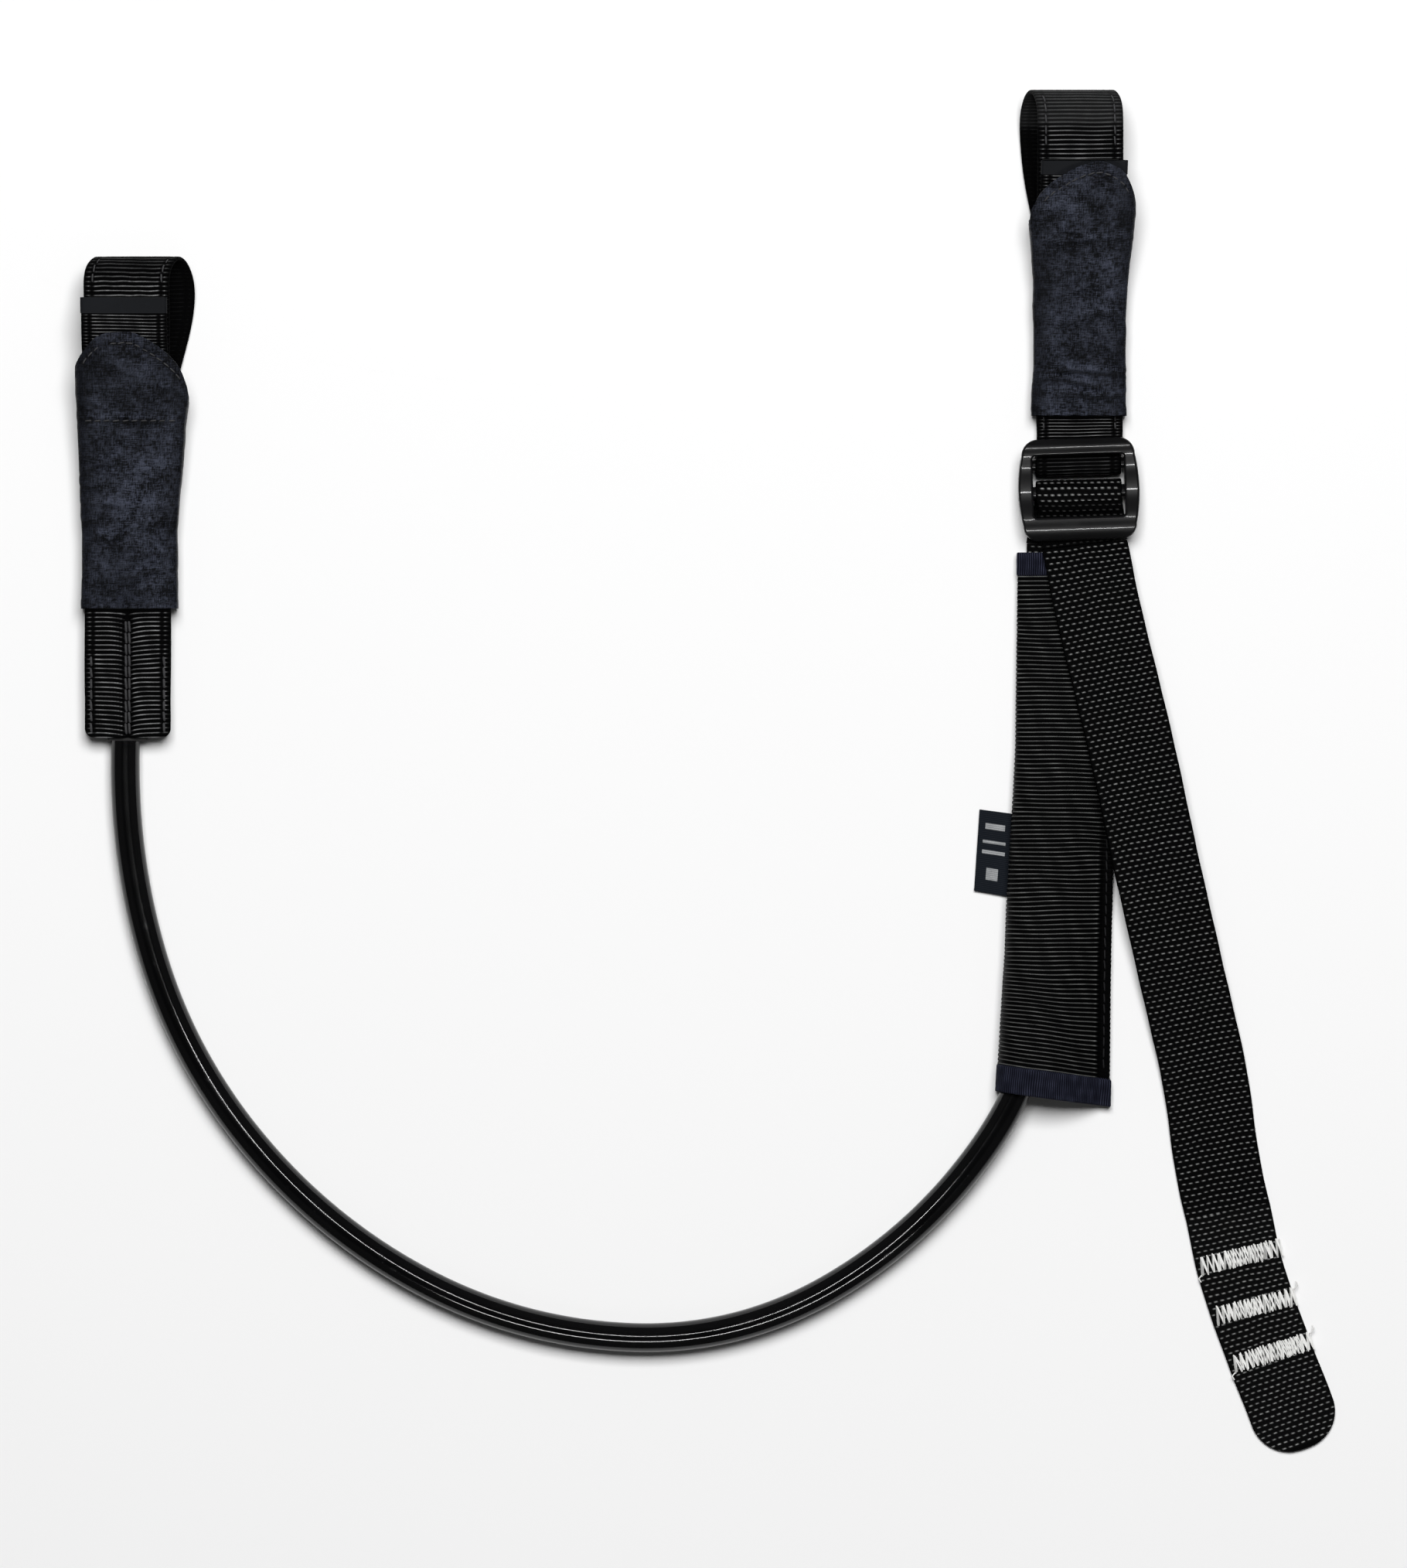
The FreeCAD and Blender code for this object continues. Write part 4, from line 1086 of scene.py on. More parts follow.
        # the relief attribute carries the painted sheen and shade
        lay(piece, places, self.sheen(ring_x, y, folds, wander), round_mm, y)
        top = max(piece.data.polygons, key=lambda face: face.center.z)
        if top.normal.z < 0:
            in_edit_mode(piece, lambda: bpy.ops.mesh.flip_normals())
        thickness = piece.modifiers.new("cloth thickness", "SOLIDIFY")
        thickness.thickness = self.CLOTH_THICK * MM
        thickness.offset = -1.0
        apply_modifiers(piece)
        smooth(piece, 60)
        return piece

    def hem_stitches(self, seed: int) -> list[np.ndarray]:
        """The line of stitches inside the tongue's edge."""
        x = np.linspace(self.tongue[1][0], self.tongue[-2][0], 200)
        y = self.tongue_y(x) - self.SEAM_INSET
        line = np.stack([x, y, self.top_at(x, y) + 0.35], axis=1)
        return stitches_along(line, straight_up(len(line)), 1.7, 0.8, seed)

    def cross_stitches(self, y: float, low_x: float, high_x: float, seed: int) -> list[np.ndarray]:
        """A line of stitches across the sleeve's front."""
        x = np.linspace(low_x, high_x, 200)
        level = np.full(x.size, y)
        line = np.stack([x, level, self.top_at(x, level) + 0.1], axis=1)
        return stitches_along(line, straight_up(len(line)), 1.5, 1.2, seed)


class GrosgrainTube:
    """The ribbed sleeve over the splice, from its Y, left edge, right edge and crown at each stop."""

    TABLE = ((63.9, 90.7, 119.4, 2.95), (50, 90.6, 119.3, 4.3), (25, 90.2, 119.1, 5.6), (8, 90.0, 118.9, 7.0),
             (-6, 89.3, 118.8, 9.3), (-38, 87.4, 118.4, 10.2), (-52, 86.9, 118.0, 12.2),
             (-95.2, 84.4, 117.5, 12.6))
    TOP, BOTTOM = 63.9, -95.2
    TOP_BINDING, BOTTOM_BINDING = 6.8, 8.0
    EDGE_HEIGHT, SKEW, SKEW_FROM = 3.1, -0.138, (40, 90)
    SEAM_INSET = 2.0
    CROWN_AT, FLAT_FROM = 0.36, 0.9
    OUTSIDE = 0.1

    def outline(self, y: np.ndarray) -> tuple[np.ndarray, np.ndarray, np.ndarray]:
        """Left edge, right edge and crown at values of Y."""
        known = np.array(self.TABLE)[::-1]
        left, right = (np.interp(y, known[:, 0], known[:, k]) for k in (1, 2))
        crown = np.mean([np.interp(y + step, known[:, 0], known[:, 3]) for step in (-9, -3, 3, 9)], axis=0)
        return left, right, crown

    def crown_share(self, share: np.ndarray) -> np.ndarray:
        """How far the top has risen towards its crown, across the width from left to seam."""
        left = (1 - np.clip(1 - share / self.CROWN_AT, 0, 1) ** 3) ** (1 / 3)
        fall = np.clip((share - self.CROWN_AT) / (self.FLAT_FROM - self.CROWN_AT), 0, 1)
        return np.where(share < self.CROWN_AT, left, np.cos(math.pi / 2 * fall) ** 0.9)

    def skewed(self, x: np.ndarray, y: np.ndarray, middle: np.ndarray) -> np.ndarray:
        """Y turned with the lower end, which is cut at a slant."""
        return y + self.SKEW * eased(-y, *self.SKEW_FROM) * (x - middle)

    def ring(self, y: float, inset: float, columns: int) -> tuple[np.ndarray, np.ndarray]:
        """X and Z round the section, starting at the left edge and running over the top."""
        left, right, crown = (float(v) for v in self.outline(np.array(y)))
        share = np.linspace(0, 1, 160)
        x0, x1, low = left + inset, right - inset, max(inset, 0.0)
        top_x = x0 + (x1 - x0) * share
        top_z = self.EDGE_HEIGHT + (crown - self.EDGE_HEIGHT) * self.crown_share(share) - inset
        under = np.linspace(0, 1, 40)
        right_z = np.linspace(top_z[-1], low + 0.6, 8)[1:]
        x = np.concatenate([top_x, np.full(7, x1), x1 - 0.6 - (x1 - x0 - 2.4) * under, [x0, x0]])
        z = np.concatenate([top_z, right_z, np.full(40, low), [low + 0.9, top_z[0]]])
        gone = np.concatenate([[0], np.cumsum(np.hypot(np.diff(x), np.diff(z)))])
        where = np.linspace(0, gone[-1], columns + 1)
        return np.interp(where, gone, x), np.interp(where, gone, z)

    def shell(self, name: str, stops: np.ndarray, insets: np.ndarray, columns: int,
              relief_at: Callable[[np.ndarray, np.ndarray, np.ndarray], np.ndarray],
              height: float) -> bpy.types.Object:
        """Closed shell whose section runs along the outside and back along the inside.

        Args:
            name: the piece's name.
            stops: the Y of each row.
            insets: how far each row lies inside the sleeve's outline.
            columns: faces round the shell.
            relief_at: crests from the way round, the way along and X, all in millimetres.
            height: how far a crest stands up.
        """
        places = np.empty((len(stops), columns + 1, 3))
        around = np.empty((len(stops), columns + 1))
        for row, (y, inset) in enumerate(zip(stops, insets)):
            x, z = self.ring(float(y), float(inset), columns)
            middle = (x.min() + x.max()) / 2
            places[row] = np.stack([x, self.skewed(x, np.full(x.size, y), middle), z], axis=1)
            around[row] = np.concatenate([[0], np.cumsum(np.hypot(np.diff(x), np.diff(z)))])
        outside = (insets <= self.OUTSIDE)[:, None]
        crest = relief_at(around, np.broadcast_to(stops[:, None], around.shape), places[..., 0]) * outside
        ahead = np.roll(places[:, :-1], -1, axis=1) - np.roll(places[:, :-1], 1, axis=1)
        out = np.stack([-ahead[..., 2], np.zeros(ahead.shape[:2]), ahead[..., 0]], axis=-1)
        out /= np.linalg.norm(out, axis=-1, keepdims=True) + 1e-9
        out = np.concatenate([out, out[:, :1]], axis=1)
        shift = out * (height * (crest - 0.6) * outside)[..., None]
        shift[..., 2] = np.where(places[..., 2] < 0.9, 0, shift[..., 2])
        piece = grid(name, columns, len(stops) - 1)
        lay(piece, places + shift, crest, around, np.broadcast_to(stops[:, None], around.shape))
        smooth(piece, 70)
        return piece


# ---------------------------------------------------------------- sub-assemblies


def flat_across(point: np.ndarray) -> np.ndarray:
    """Straight across for every point."""
    return turned(np.zeros(len(point)))


def strap_across(point: np.ndarray) -> np.ndarray:
    """Along the fixed bar at the buckle and along X above it."""
    return turned(BUCKLE_TURN * (1 - eased(point[:, 1], 93, 106)))


def wrap_across(point: np.ndarray) -> np.ndarray:
    """Across direction of the webbing round the centre bar."""
    rising = -SLEEVE_LEAN + (BUCKLE_TURN + SLEEVE_LEAN) * eased(point[:, 1], 66, 78)
    falling = BUCKLE_TURN + 5.0 * (1 - eased(point[:, 1], 66, 75))
    return turned(rising + (falling - rising) * eased(point[:, 2], 1.6, 2.8))


def tail_across(point: np.ndarray) -> np.ndarray:
    """Across direction of the tail."""
    lean = 11.8
    head = (BUCKLE_TURN + 5.0 - lean) * eased(point[:, 1], 50, 66)
    foot = 7.5 * eased(-point[:, 1], 136, 172)
    return turned(lean + head + foot)


def buckle_point(v: float, z: float) -> Point:
    """A place on the buckle's middle line."""
    angle = math.radians(BUCKLE_TURN)
    return BUCKLE_X - v * math.sin(angle), BUCKLE_Y + v * math.cos(angle), z


def round_bar(v: float, z: float, radius: float, degrees: Sequence[float], wide: float = 1.1) -> list[Point]:
    """Webbing's centre line round a bar of the buckle, a little wider than it is high."""
    reach = radius + 0.3 + WEB_THICK / 2
    turns = [math.radians(d) for d in degrees]
    return [buckle_point(v + reach * wide * math.cos(a), z + reach * math.sin(a)) for a in turns]


def end_of(route: Route, length: float) -> Route:
    """The last part of a route."""
    total = route.length()
    return Route(tuple(map(tuple, route.at(np.linspace(total - length, total, 5))[0])))


class Bight:
    """The sheathed rope between the two straps."""

    DIAMETER = 8.5

    def __init__(self, finishes: Finishes) -> None:
        """Make the tube and give the rope inside it a finish."""
        piece = round_curve("sheathed_line", self.DIAMETER / 2, facets=10, steps=24)
        spline = add_spline(piece, "NURBS", LINE_ROUTE)
        spline.order_u = 3
        spline.use_endpoint_u = True
        dress(piece, finishes.tube, "tube", "line", "line_tube")
        for node in ("line_rope", "rope_left_flat", "rope_right_flat"):
            repaint(node, finishes.rope)


class BoomStrap:
    """What the two boom straps have in common."""

    SIDE, BODY = "", ""
    SLEEVE: RipstopSleeve
    FACE = WEB_THICK / 2 + 0.02
    SEAL_THICK, SEAL_WIDTH, SEAL_RELIEF = WEB_THICK + 0.4, WEB_WIDTH + 0.3, 0.1

    def __init__(self, finishes: Finishes) -> None:
        """Make the strap, its sleeve and its stitches, and finish its tapes."""
        self.finishes = finishes
        self.lay_out()
        self.webbing()
        self.cloth()
        self.stitches()
        for tape in ("loop_tape", "hook_tape"):
            repaint(f"{self.SIDE}_{tape}", finishes.tape)

    def lay_out(self) -> None:
        """Work out the routes."""

    def webbing(self) -> None:
        """Make the strap."""

    def cloth(self) -> None:
        """Make the loose sleeve."""

    def stitches(self) -> None:
        """Make the stitches."""

    def seal(self, route: Route, length: float, seed: int) -> None:
        """The heat-sealed end of a route."""
        piece = Strap(f"{self.SIDE}_sealed_end", end_of(route, length), flat_across, Weave.PLAIN,
                      ((0.0, 0.5),), thick=self.SEAL_THICK, width=self.SEAL_WIDTH, relief=self.SEAL_RELIEF,
                      seed=seed).build()
        dress(piece, self.finishes.seal, "seal", self.BODY, f"{self.SIDE}_flap_seal")

    def sewn(self, name: str, threads: Sequence[np.ndarray], radius: float, body: str, node: str) -> None:
        """Black stitches that stand for a node."""
        dress(sew(name, threads, radius), self.finishes.black_thread, "black_thread", body, node)


class FixedStrap(BoomStrap):
    """The boom strap that is sewn to the line's end."""

    SIDE, BODY = "left", "line"
    SLEEVE = RipstopSleeve(
        "left_cloth_sleeve",
        ((47.6, -181.6, -153.8, 9.0), (70, -181.6, -153.9, 9.0), (84, -182.2, -152.8, 9.4),
         (98, -182.8, -151.7, 11.2), (110, -183.2, -150.2, 13.4), (128.5, -183.6, -149.0, 18.2)),
        ((-183.6, 119.0), (-181.0, 121.6), (-178.4, 125.2), (-175.0, 127.3), (-166.8, 127.8),
         (-160.4, 124.2), (-154.8, 119.9), (-152.0, 116.6), (-150.0, 111.4)),
        base_y=111.0, seed=21,
        creases=((102.0, 0.3, 0.0, 0.0, 1.4), (86.5, 0.3, 0.1, 0.3, 0.7), (77.0, 0.34, -0.05, -0.1, 0.9),
                 (57.0, 0.3, 0.08, 0.4, 0.6)))
    FLAP_END_Y, FLAP_DRIFT = 137.9, -0.8
    SEAM_Y, SEAM_X = 102.0, (-180.5, -153.5)

    def lay_out(self) -> None:
        """The strap round the boom, and the flap over it, which drifts sideways towards its end."""
        self.route = Route(tuple(placed(LEFT_BACK_AND_LOOP, LEFT_X)))
        front = Route(self.route.points[9:])
        covered = Route((front.cut_at_y(self.FLAP_END_Y), *front.points[1:]))
        lap = placed(LEFT_FLAP_FOOT, LEFT_X)
        upper = drifted(covered.raised(CLOSURE_STEP).points[::-1], self.FLAP_DRIFT, 112, 132)
        self.flap = Route((*lap[::-1], *upper))

    def webbing(self) -> None:
        """The strap, its flap and the sealed end."""
        strap = Strap("left_boom_strap", self.route, flat_across, Weave.RIBBED, inner=1.0, foot_corner=2.6,
                      dull_from=(141.0, 146.0), seed=3).build()
        dress(strap, self.finishes.ribbed, "webbing", "line", "left_strap_webbing")
        flap = Strap("left_flap", self.flap, flat_across, Weave.RIBBED,
                     ((0.0, 1.38), (40.0, 1.3), (90.0, 0.97)), seed=5, foot_corner=2.6,
                     groove=(38.0, 1.1)).build()
        dress(flap, self.finishes.ribbed, "webbing", "line", "left_closure_flap")
        self.seal(self.flap, 4.6, 6)

    def cloth(self) -> None:
        """The loose sleeve."""
        sleeve = self.SLEEVE.build()
        dress(sleeve, self.finishes.ripstop, "ripstop", "left_sleeve", "left_ripstop_sleeve")
        threads = self.SLEEVE.hem_stitches(31) + self.SLEEVE.cross_stitches(self.SEAM_Y, *self.SEAM_X, 33)
        self.sewn("left_tongue_stitches", threads, 0.2, "left_sleeve", "left_sleeve_stitching")

    def stitches(self) -> None:
        """Stitches at the strap's foot and on its loop."""
        foot = stitches_on(self.flap, self.FACE, (-10.6, 10.6), 11.5, 36, 2.3, 0.9, 41)
        foot += stitches_on(self.flap, self.FACE - 0.6, (-0.5, 0.5), 11.0, 46, 2.7, 0.6, 43)
        self.sewn("left_foot_stitches", foot, 0.34, "line", "left_end_stitching")
        loop = stitches_on(Route(self.route.points[7:]), self.FACE, (-10.0, 10.0), 139.5, 148.5, 2.3, 0.9, 51)
        self.sewn("left_loop_stitches", loop, 0.22, "line", "left_loop_stitching")


class AdjustableStrap(BoomStrap):
    """The boom strap on the buckle's fixed bar."""

    SIDE, BODY = "right", "boom_strap"
    SLEEVE = RipstopSleeve(
        "right_cloth_sleeve",
        ((103.7, 94.6, 122.2, 7.2), (118, 95.2, 122.0, 7.6), (132, 95.2, 122.1, 8.0), (141, 95.2, 122.6, 8.6),
         (150, 94.7, 123.4, 10.8), (163, 93.4, 124.6, 15.0), (178.5, 92.6, 125.4, 19.4)),
        ((93.4, 163.2), (98.0, 169.2), (101.5, 171.8), (108.0, 175.6), (114.3, 177.4), (119.7, 175.2),
         (123.0, 171.8), (125.0, 165.9)),
        base_y=163.0, seed=22,
        creases=((153.5, 0.28, 0.02, 0.1, 1.0), (161.5, 0.15, -0.03, -0.2, 0.6), (115.5, 0.5, 0.03, 0.2, 1.0),
                 (112.2, 0.45, -0.1, -0.3, 0.7), (108.6, 0.4, 0.07, 0.3, 0.9)), wrinkles=9)
    FLAP_END_Y, FLAP_DRIFT = 178.4, 1.2
    PITCHES = ((0.0, 1.3), (66.0, 1.3), (76.0, 1.05), (94.0, 1.05), (106.0, 1.3), (170.0, 1.3), (200.0, 0.97))

    def lay_out(self) -> None:
        """One strap: the flap, the turn round the fixed bar, the back, the loop and the front."""
        front = placed(RIGHT_LOOP_AND_FRONT, RIGHT_X)
        closing = Route(tuple(front[9:]))
        covered = Route((closing.cut_at_y(self.FLAP_END_Y), *(p for p in front[10:] if p[1] > 124)))
        flap = drifted(covered.raised(CLOSURE_STEP).points, self.FLAP_DRIFT, 150, 174)
        turn = round_bar(7.45, 3.5, 1.8, (75, 110, 145, 180, 215, 250, 280))
        back = placed(((0.0, 94.5, 1.2), (0.0, 104, 1.4)), RIGHT_X)
        forward = (*flap, *placed(RIGHT_FLAP_FOOT, RIGHT_X), *turn, *back, *front)
        self.front = Route(tuple(front[6:]))
        self.route = Route(tuple(forward[::-1]))

    def webbing(self) -> None:
        """The strap and its sealed end."""
        strap = Strap("right_boom_strap", self.route, strap_across, Weave.RIBBED, self.PITCHES,
                      columns=24, under_columns=24, inner=-1.0, dull_from=(184.5, 189.0), dulled=(0.78, 0.74),
                      # painted shade on the roll round the fixed bar, under the buckle's rim
                      fade=((86.0, 1.0), (87.0, 0.84), (93.5, 0.84), (95.0, 1.0)), seed=7).build()
        dress(strap, self.finishes.ribbed, "webbing", "boom_strap", "right_strap_webbing")
        self.seal(self.route, 4.0, 8)

    def cloth(self) -> None:
        """The loose sleeve."""
        sleeve = self.SLEEVE.build()
        dress(sleeve, self.finishes.ripstop, "ripstop", "right_sleeve", "right_ripstop_sleeve")
        self.sewn("right_tongue_stitches", self.SLEEVE.hem_stitches(32), 0.2, "right_sleeve",
                  "right_sleeve_stitching")

    def stitches(self) -> None:
        """Stitches above the buckle and on the loop."""
        lap = Route(tuple(placed(((0.0, 104, 3.2), (0.0, 101, 3.07), (0.0, 98, 2.97)), RIGHT_X)))
        foot = stitches_on(lap, self.FACE, (-10.4, 10.4), 97, 104, 1.6, 0.6, 61)
        self.sewn("right_foot_stitches", foot, 0.22, "boom_strap", "right_strap_stitching")
        loop = stitches_on(self.front, self.FACE, (-10.0, 10.0), 180.5, 196, 2.3, 0.9, 71)
        self.sewn("right_loop_stitches", loop, 0.22, "boom_strap", "right_loop_stitching")


class Splice:
    """The grosgrain sleeve over the join of rope and load webbing."""

    RIB, RIB_SHARPNESS, RIB_ROWS, RIB_HEIGHT = 1.3, 1.5, 6, 0.3
    FOLD_AT, FOLD_FROM = 4.6, (5.0, 40.0)
    BINDING_RIB, BINDING_HEIGHT = 0.66, 0.22
    LABEL_CORNERS = ((79.6, -10.9), (89.4, -12.2), (78.0, -34.6), (87.6, -36.2))
    LABEL_WIDE, LABEL_LONG, LABEL_WEFT, LABEL_THICK = 9.8, 23.8, 0.55, 0.3
    LABEL_BARS = ((4.5, 0.9, 2.0, 7.8), (9.0, 0.45, 1.6, 8.2), (12.0, 0.45, 1.6, 8.2), (18.2, 1.7, 3.2, 6.6))

    def __init__(self, finishes: Finishes) -> None:
        """Make the sleeve, its bindings, its seam and its label."""
        self.finishes = finishes
        self.tube = GrosgrainTube()
        self.sleeve()
        self.bindings()
        self.seam()
        self.label()
        repaint("anchor_webbing", finishes.ribbed)
        repaint("anchor_stitching", finishes.black_thread)

    def ribs(self, around: np.ndarray, along: np.ndarray, x: np.ndarray) -> np.ndarray:
        """Ribs across the sleeve, a little wavy, with a fold along the seam's side lower down: flatter and
        with painted shade beyond the fold, and a raised ridge on the fold painted a little paler.
        """
        wander = Wander(81)
        waves = 0.12 * wander.at(around, along, 22.0) + 0.25 * wander.at(around, along, 70.0)
        crest = (0.5 + 0.5 * np.cos(2 * math.pi * (along / self.RIB + waves))) ** self.RIB_SHARPNESS
        from_edge = self.tube.outline(along)[1] - x
        low = eased(-along, *self.FOLD_FROM)
        # painted shade: crests halved on the flange beyond the fold, which also flattens it
        flange_shade = 0.5 * low * (1 - eased(from_edge, self.FOLD_AT - 1.4, self.FOLD_AT))
        # painted highlight: crests raised a little along the fold's ridge
        ridge = 0.12 * low * np.exp(-((from_edge - self.FOLD_AT) / 0.5) ** 2)
        uneven = 0.96 + 0.04 * wander.at(around * 1.5, along, 8.0)
        return np.clip(crest * (1 - flange_shade + ridge) * uneven, 0, 1)

    def sleeve(self) -> None:
        """The ribbed tube."""
        low = self.tube.BOTTOM + self.tube.BOTTOM_BINDING - 2
        high = self.tube.TOP - self.tube.TOP_BINDING + 2
        outer = np.linspace(low, high, int((high - low) / self.RIB * self.RIB_ROWS) + 1)
        inner = np.linspace(high, low, 30)
        stops = np.concatenate([outer, inner, outer[:1]])
        insets = np.concatenate([np.zeros(outer.size), np.full(inner.size, 0.4), [0.0]])
        piece = self.tube.shell("splice_sleeve", stops, insets, 92, self.ribs, self.RIB_HEIGHT)
        dress(piece, self.finishes.grosgrain, "grosgrain", "line", "line_sleeve")

    def bindings(self) -> None:
        """Tape folded over the sleeve's two ends."""
        def fine(around: np.ndarray, along: np.ndarray, x: np.ndarray) -> np.ndarray:
            """Fine ribs along the tape's short way."""
            wander = Wander(83)
            phase = around / self.BINDING_RIB + 0.2 * wander.at(around, along, 12.0)
            uneven = 0.85 + 0.15 * wander.at(around, along, 5.0)
            return np.clip((0.5 + 0.5 * np.cos(2 * math.pi * phase)) * uneven, 0, 1)

        for name, node, mouth, inward in (
                ("mouth_binding", "sleeve_top_binding", self.tube.TOP, -self.tube.TOP_BINDING),
                ("foot_binding", "sleeve_bottom_binding", self.tube.BOTTOM, self.tube.BOTTOM_BINDING)):
            side = math.copysign(1.0, inward)
            out = mouth + side * np.linspace(abs(inward), 0.3, 16)
            back = mouth + side * np.linspace(0.3, abs(inward), 5)
            lip = mouth + side * np.array([0.05, 0.0, 0.05])
            stops = np.concatenate([out, lip, back, out[:1]])
            lip_insets = (-0.12, 0.1, 0.3)
            insets = np.concatenate([[0.0], np.full(out.size - 1, -0.25), lip_insets, np.full(back.size, 0.5),
                                     [0.0]])
            piece = self.tube.shell(name, stops, insets, 420, fine, self.BINDING_HEIGHT)
            dress(piece, self.finishes.binding, "binding", "line", node)

    def seam(self) -> None:
        """Stitches along the sleeve's right edge."""
        y = np.linspace(54, -86, 500)
        left, right, _ = self.tube.outline(y)
        x = right - self.tube.SEAM_INSET
        line = np.stack([x, self.tube.skewed(x, y, (left + right) / 2), np.full(y.size, 3.2)], axis=1)
        threads = stitches_along(line, straight_up(y.size), 2.3, 0.9, 85)
        dress(sew("seam_stitches", threads, 0.22), self.finishes.shaded_seam_thread, "black_thread", "line",
              "sleeve_seam_stitching")

    def label(self) -> None:
        """Small woven label with plain bars, each given by its middle, half height and two sides."""
        corners = np.array(self.LABEL_CORNERS)
        columns, rows = 60, 140
        a = np.linspace(0, 1, columns + 1)[None, :, None]
        b = np.linspace(0, 1, rows + 1)[:, None, None]
        upper, lower = (corners[k] * (1 - a) + corners[k + 1] * a for k in (0, 2))
        flat = upper * (1 - b) + lower * b
        across = np.broadcast_to(a[..., 0] * self.LABEL_WIDE, flat.shape[:2])
        along = np.broadcast_to(b[..., 0] * self.LABEL_LONG, flat.shape[:2])
        bars = np.zeros(across.shape)
        for centre, half, low, high in self.LABEL_BARS:
            bars += (abs(along - centre) < half) * (across > low) * (across < high)
        weft = 0.5 + 0.5 * np.sin(2 * math.pi * along / self.LABEL_WEFT)
        relief = np.clip(0.25 * weft + 0.75 * bars, 0, 1)
        height = 0.45 + 0.06 * relief + 0.25 * (across / self.LABEL_WIDE) ** 3
        height = height + 0.1 * Wander(87).at(across, along, 18.0)
        piece = grid("woven_label", columns, rows)
        lay(piece, np.concatenate([flat, height[..., None]], axis=-1), relief, across, along, weld=False)
        in_edit_mode(piece, lambda: bpy.ops.mesh.normals_make_consistent(inside=False))
        thickness = piece.modifiers.new("label thickness", "SOLIDIFY")
        thickness.thickness = self.LABEL_THICK * MM
        apply_modifiers(piece)
        smooth(piece, 50)
        dress(piece, self.finishes.label, "label", "line", "sleeve_label")


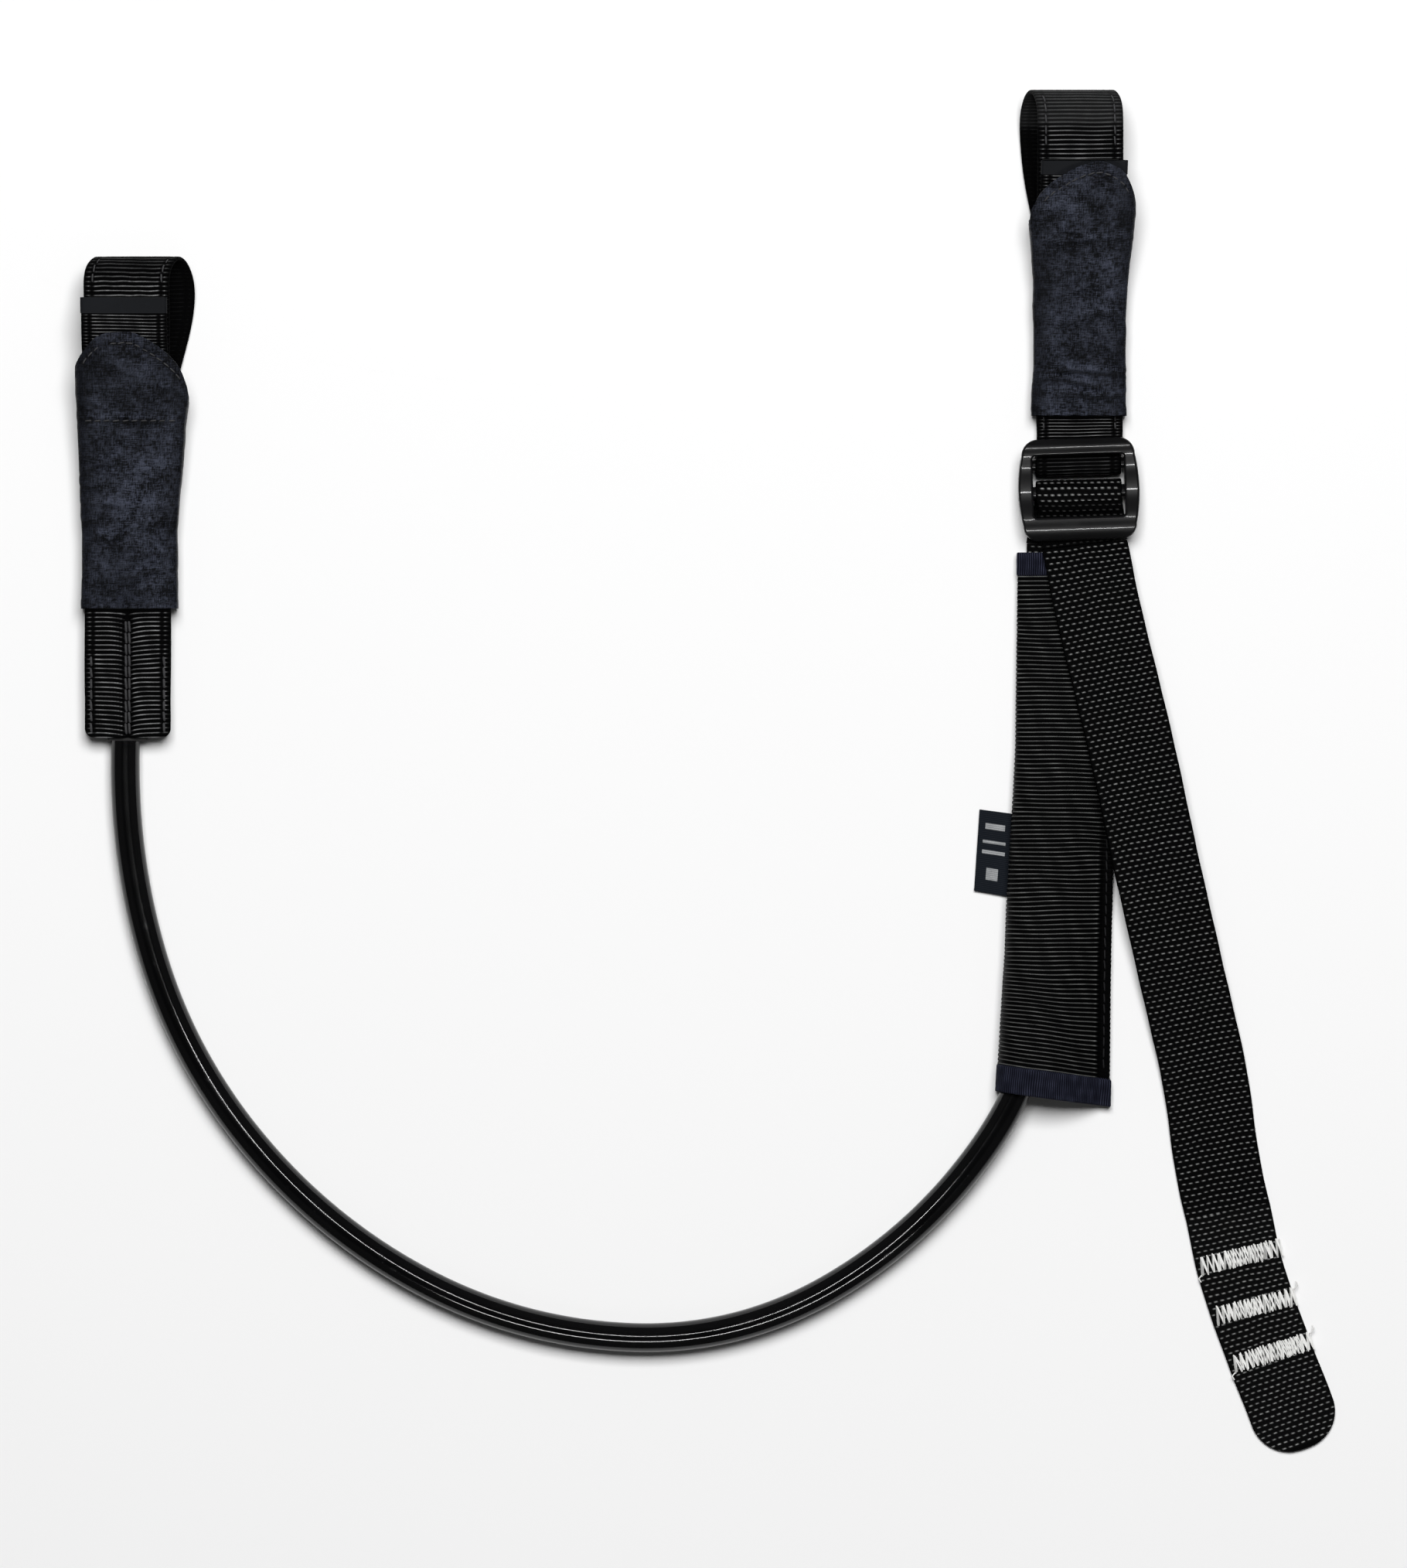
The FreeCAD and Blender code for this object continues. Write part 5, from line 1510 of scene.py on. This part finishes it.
class Adjuster:
    """The ladder-lock buckle, the load webbing through it and the tail."""

    FEED_TRAVEL = 140.0
    TACKS = (((143.7, -144.2), (167.4, -138.2)), ((148.2, -158.6), (171.6, -152.6)),
             ((153.4, -172.6), (176.4, -165.4)))
    TACK_HEIGHT, TACK_SWING, TACK_RADIUS = 1.44, 4.9, 0.2
    TACK_PASSES = ((26, 0.0), (28, 0.35), (31, 0.7))
    LOOSE_START = ((0.6, -2.4, 0.1), (-0.2, -3.3, 0.35), (0.4, -4.4, 0.1))
    LOOSE_END = ((-0.4, 2.0, 0.1), (0.5, 3.2, 0.35), (0.1, 4.3, 0.1))
    FLOAT_PITCH = ((0.0, 1.65),)
    STRAND = ((105.7, 66.2, 1.45), (102.24, -79.5, 1.45))

    def __init__(self, finishes: Finishes) -> None:
        """Make the webbing and the tacks, and finish the buckle."""
        self.finishes = finishes
        self.strand()
        self.wrap()
        self.tail()
        self.tacks()
        repaint("ladder_lock_buckle", finishes.buckle)
        smooth(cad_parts["ladder_lock_buckle"], 35)

    def strand(self) -> None:
        """The straight strand inside the sleeve."""
        head, foot = np.array(self.STRAND)
        points = tuple(tuple(head + (foot - head) * share) for share in (0.0, 0.5, 1.0))
        piece = Strap("load_strand", Route(points), lambda p: turned(np.full(len(p), -SLEEVE_LEAN)),
                      Weave.FLOATS, self.FLOAT_PITCH, outer=-1.0, columns=78, under_columns=10, seed=9).build()
        dress(piece, self.finishes.floats, "webbing", "boom_strap", "load_strand")

    def wrap(self) -> None:
        """The webbing over the centre bar."""
        over = round_bar(-0.75, 3.6, 1.95, (-50, 10, 75, 130))
        rise = [(105.7, 66.4, 1.45), (106.5, 70.5, 1.45), (107.8, 77.0, 1.4)]
        fall = [(109.1, 75.0, 3.75), (109.6, 70.8, 3.3), (110.05, 66.3, 3.9)]
        piece = Strap("wrapped_webbing", Route((*rise, *over, *fall)), wrap_across, Weave.FLOATS,
                      self.FLOAT_PITCH, outer=-1.0, columns=78, under_columns=12,
                      # painted shade where the wrap goes deep into the buckle, painted highlight over the top
                      # of the centre bar
                      fade=((74.0, 0.5), (78.0, 0.6), (79.3, 1.15), (83.2, 1.15), (84.5, 0.8), (87.0, 0.6)),
                      seed=10).build()
        dress(piece, self.finishes.floats, "webbing", None, "buckle_wrap_webbing")
        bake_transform(piece)

    def tail(self) -> None:
        """The tail's gathering part and its end."""
        middle = Route(TAIL_ROUTE)
        piece = Strap("tail_upper", middle, tail_across, Weave.FLOATS, self.FLOAT_PITCH, outer=-1.0,
                      columns=66, under_columns=8, rows_per_rib=8, seed=11).build()
        dress(piece, self.finishes.floats, "webbing", "boom_strap", "tail_middle")
        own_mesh(piece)
        end = Strap("tail_lower", Route(TAIL_END_ROUTE), tail_across, Weave.FLOATS, self.FLOAT_PITCH,
                    outer=-1.0, columns=66, under_columns=8, rows_per_rib=8, tip_corner=11.2, sealed=1.6,
                    phase_start=middle.length() / self.FLOAT_PITCH[0][1], seed=11).build()
        dress(end, self.finishes.floats, "webbing", "tail_end", "tail_end")

    def tacks(self) -> None:
        """Three zigzag tacks, each sewn over three times, with loose thread ends."""
        rng = np.random.default_rng(13)
        threads = []
        for count, (start, end) in enumerate(self.TACKS):
            a, b = np.array([*start, self.TACK_HEIGHT]), np.array([*end, self.TACK_HEIGHT])
            run = b - a
            side = np.array([-run[1], run[0], 0]) / np.linalg.norm(run)
            for teeth, shift in self.TACK_PASSES:
                places = []
                for tooth in range(teeth + 1):
                    swing = (tooth % 2 - 0.5) * (self.TACK_SWING + rng.normal(0, 0.35))
                    gone = (tooth + shift + rng.normal(0, 0.18)) / teeth
                    spot = a + run * min(max(gone, 0), 1) + side * swing
                    places += [spot - [0, 0, 0.2], spot + [0, 0, 0.08 + 0.14 * shift]]
                threads.append(np.array(places[::-1] if shift else places))
            if count != 1:
                threads.append(a + np.array(self.LOOSE_START))
            if count:
                threads.append(b + np.array(self.LOOSE_END))
        piece = sew("zigzag_tacks", threads, self.TACK_RADIUS)
        dress(piece, self.finishes.white_thread, "white_thread", "tail_end", "tail_bar_tacks")


@dataclass(frozen=True)
class Lamp:
    """A rectangular lamp that faces the origin, and either lights surfaces or only glints in them."""

    name: str
    place: Point
    size: tuple[float, float]
    watts: float
    glints: bool

    def hang(self) -> None:
        """Add the lamp to the scene."""
        bpy.ops.object.light_add(type="AREA", location=self.place)
        lamp = bpy.context.object
        lamp.name = self.name
        lamp.data.shape = "RECTANGLE"
        lamp.data.size, lamp.data.size_y = self.size
        lamp.data.energy = self.watts
        lamp.visible_glossy, lamp.visible_diffuse = self.glints, not self.glints
        lamp.rotation_euler = (-Vector(self.place)).to_track_quat("-Z", "Y").to_euler()


class Studio:
    """Camera, floor and lights, with the view's width and middle and the camera's height in millimetres."""

    WIDE, MIDDLE, HEIGHT = 409.9, (-0.8, -3.5), 4000.0
    FLOOR_SIZE, FLOOR_DROP = 30.0, 0.0002
    TENT_EDGE, TENT_HOLE = 0.72, 0.93
    TENT_LIGHT, HOLE_LIGHT = 1.15, 0.02
    LAMPS = (Lamp("key", (0.1, 1.05, 2.5), (1.7, 1.3), 88.0, glints=False),
             Lamp("strip", (0.0, 0.26, 2.0), (1.1, 0.03), 9.0, glints=True),
             Lamp("low_strip", (0.1, -1.15, 1.75), (1.3, 0.05), 13.0, glints=True))

    def __init__(self) -> None:
        """Set up the stage."""
        self.floor()
        self.camera()
        self.lights()

    def floor(self) -> None:
        """Pale floor."""
        deselect()
        bpy.ops.mesh.primitive_plane_add(size=self.FLOOR_SIZE, location=(0, 0, -self.FLOOR_DROP))
        plane = bpy.context.object
        plane.name = "floor"
        plane.data.materials.append(PlainFloor().material())

    def camera(self) -> None:
        """Straight down over the line."""
        sensor = 36.0
        bpy.ops.object.camera_add(location=(self.MIDDLE[0] * MM, self.MIDDLE[1] * MM, self.HEIGHT * MM))
        camera = bpy.context.object
        camera.data.sensor_width = sensor
        camera.data.sensor_fit = "HORIZONTAL"
        camera.data.lens = sensor * self.HEIGHT / self.WIDE
        bpy.context.scene.camera = camera

    def lights(self) -> None:
        """A wide key light from above the straps, two narrow strips for glints and a pale sky."""
        for lamp in self.LAMPS:
            lamp.hang()
        bpy.context.scene.world = self.sky()
        bpy.context.scene.view_settings.view_transform = "Standard"

    def sky(self) -> bpy.types.World:
        """Surroundings that are dark overhead and bright low down, as a tent with a hole for the lens."""
        sheet = ShaderSheet(bpy.data.worlds.new("sky"), "Background")
        way = sheet.node("ShaderNodeTexCoord", {}, {}, "Generated")
        steep = sheet.node("ShaderNodeSeparateXYZ", {}, {0: way}, "Z").size()
        fade = sheet.node("ShaderNodeMapRange", {"interpolation_type": "SMOOTHSTEP"},
                          {"Value": steep, "From Min": self.TENT_EDGE, "From Max": self.TENT_HOLE,
                           "To Min": self.TENT_LIGHT, "To Max": self.HOLE_LIGHT}, "Result")
        return sheet.finished(Strength=fade)


def main() -> None:
    """Build the line and its stage."""
    logging.basicConfig(level=logging.INFO, format="%(message)s")
    finishes = Finishes()
    Bight(finishes)
    FixedStrap(finishes)
    AdjustableStrap(finishes)
    Splice(finishes)
    Adjuster(finishes)
    Studio()


if __name__ == "__main__":
    main()
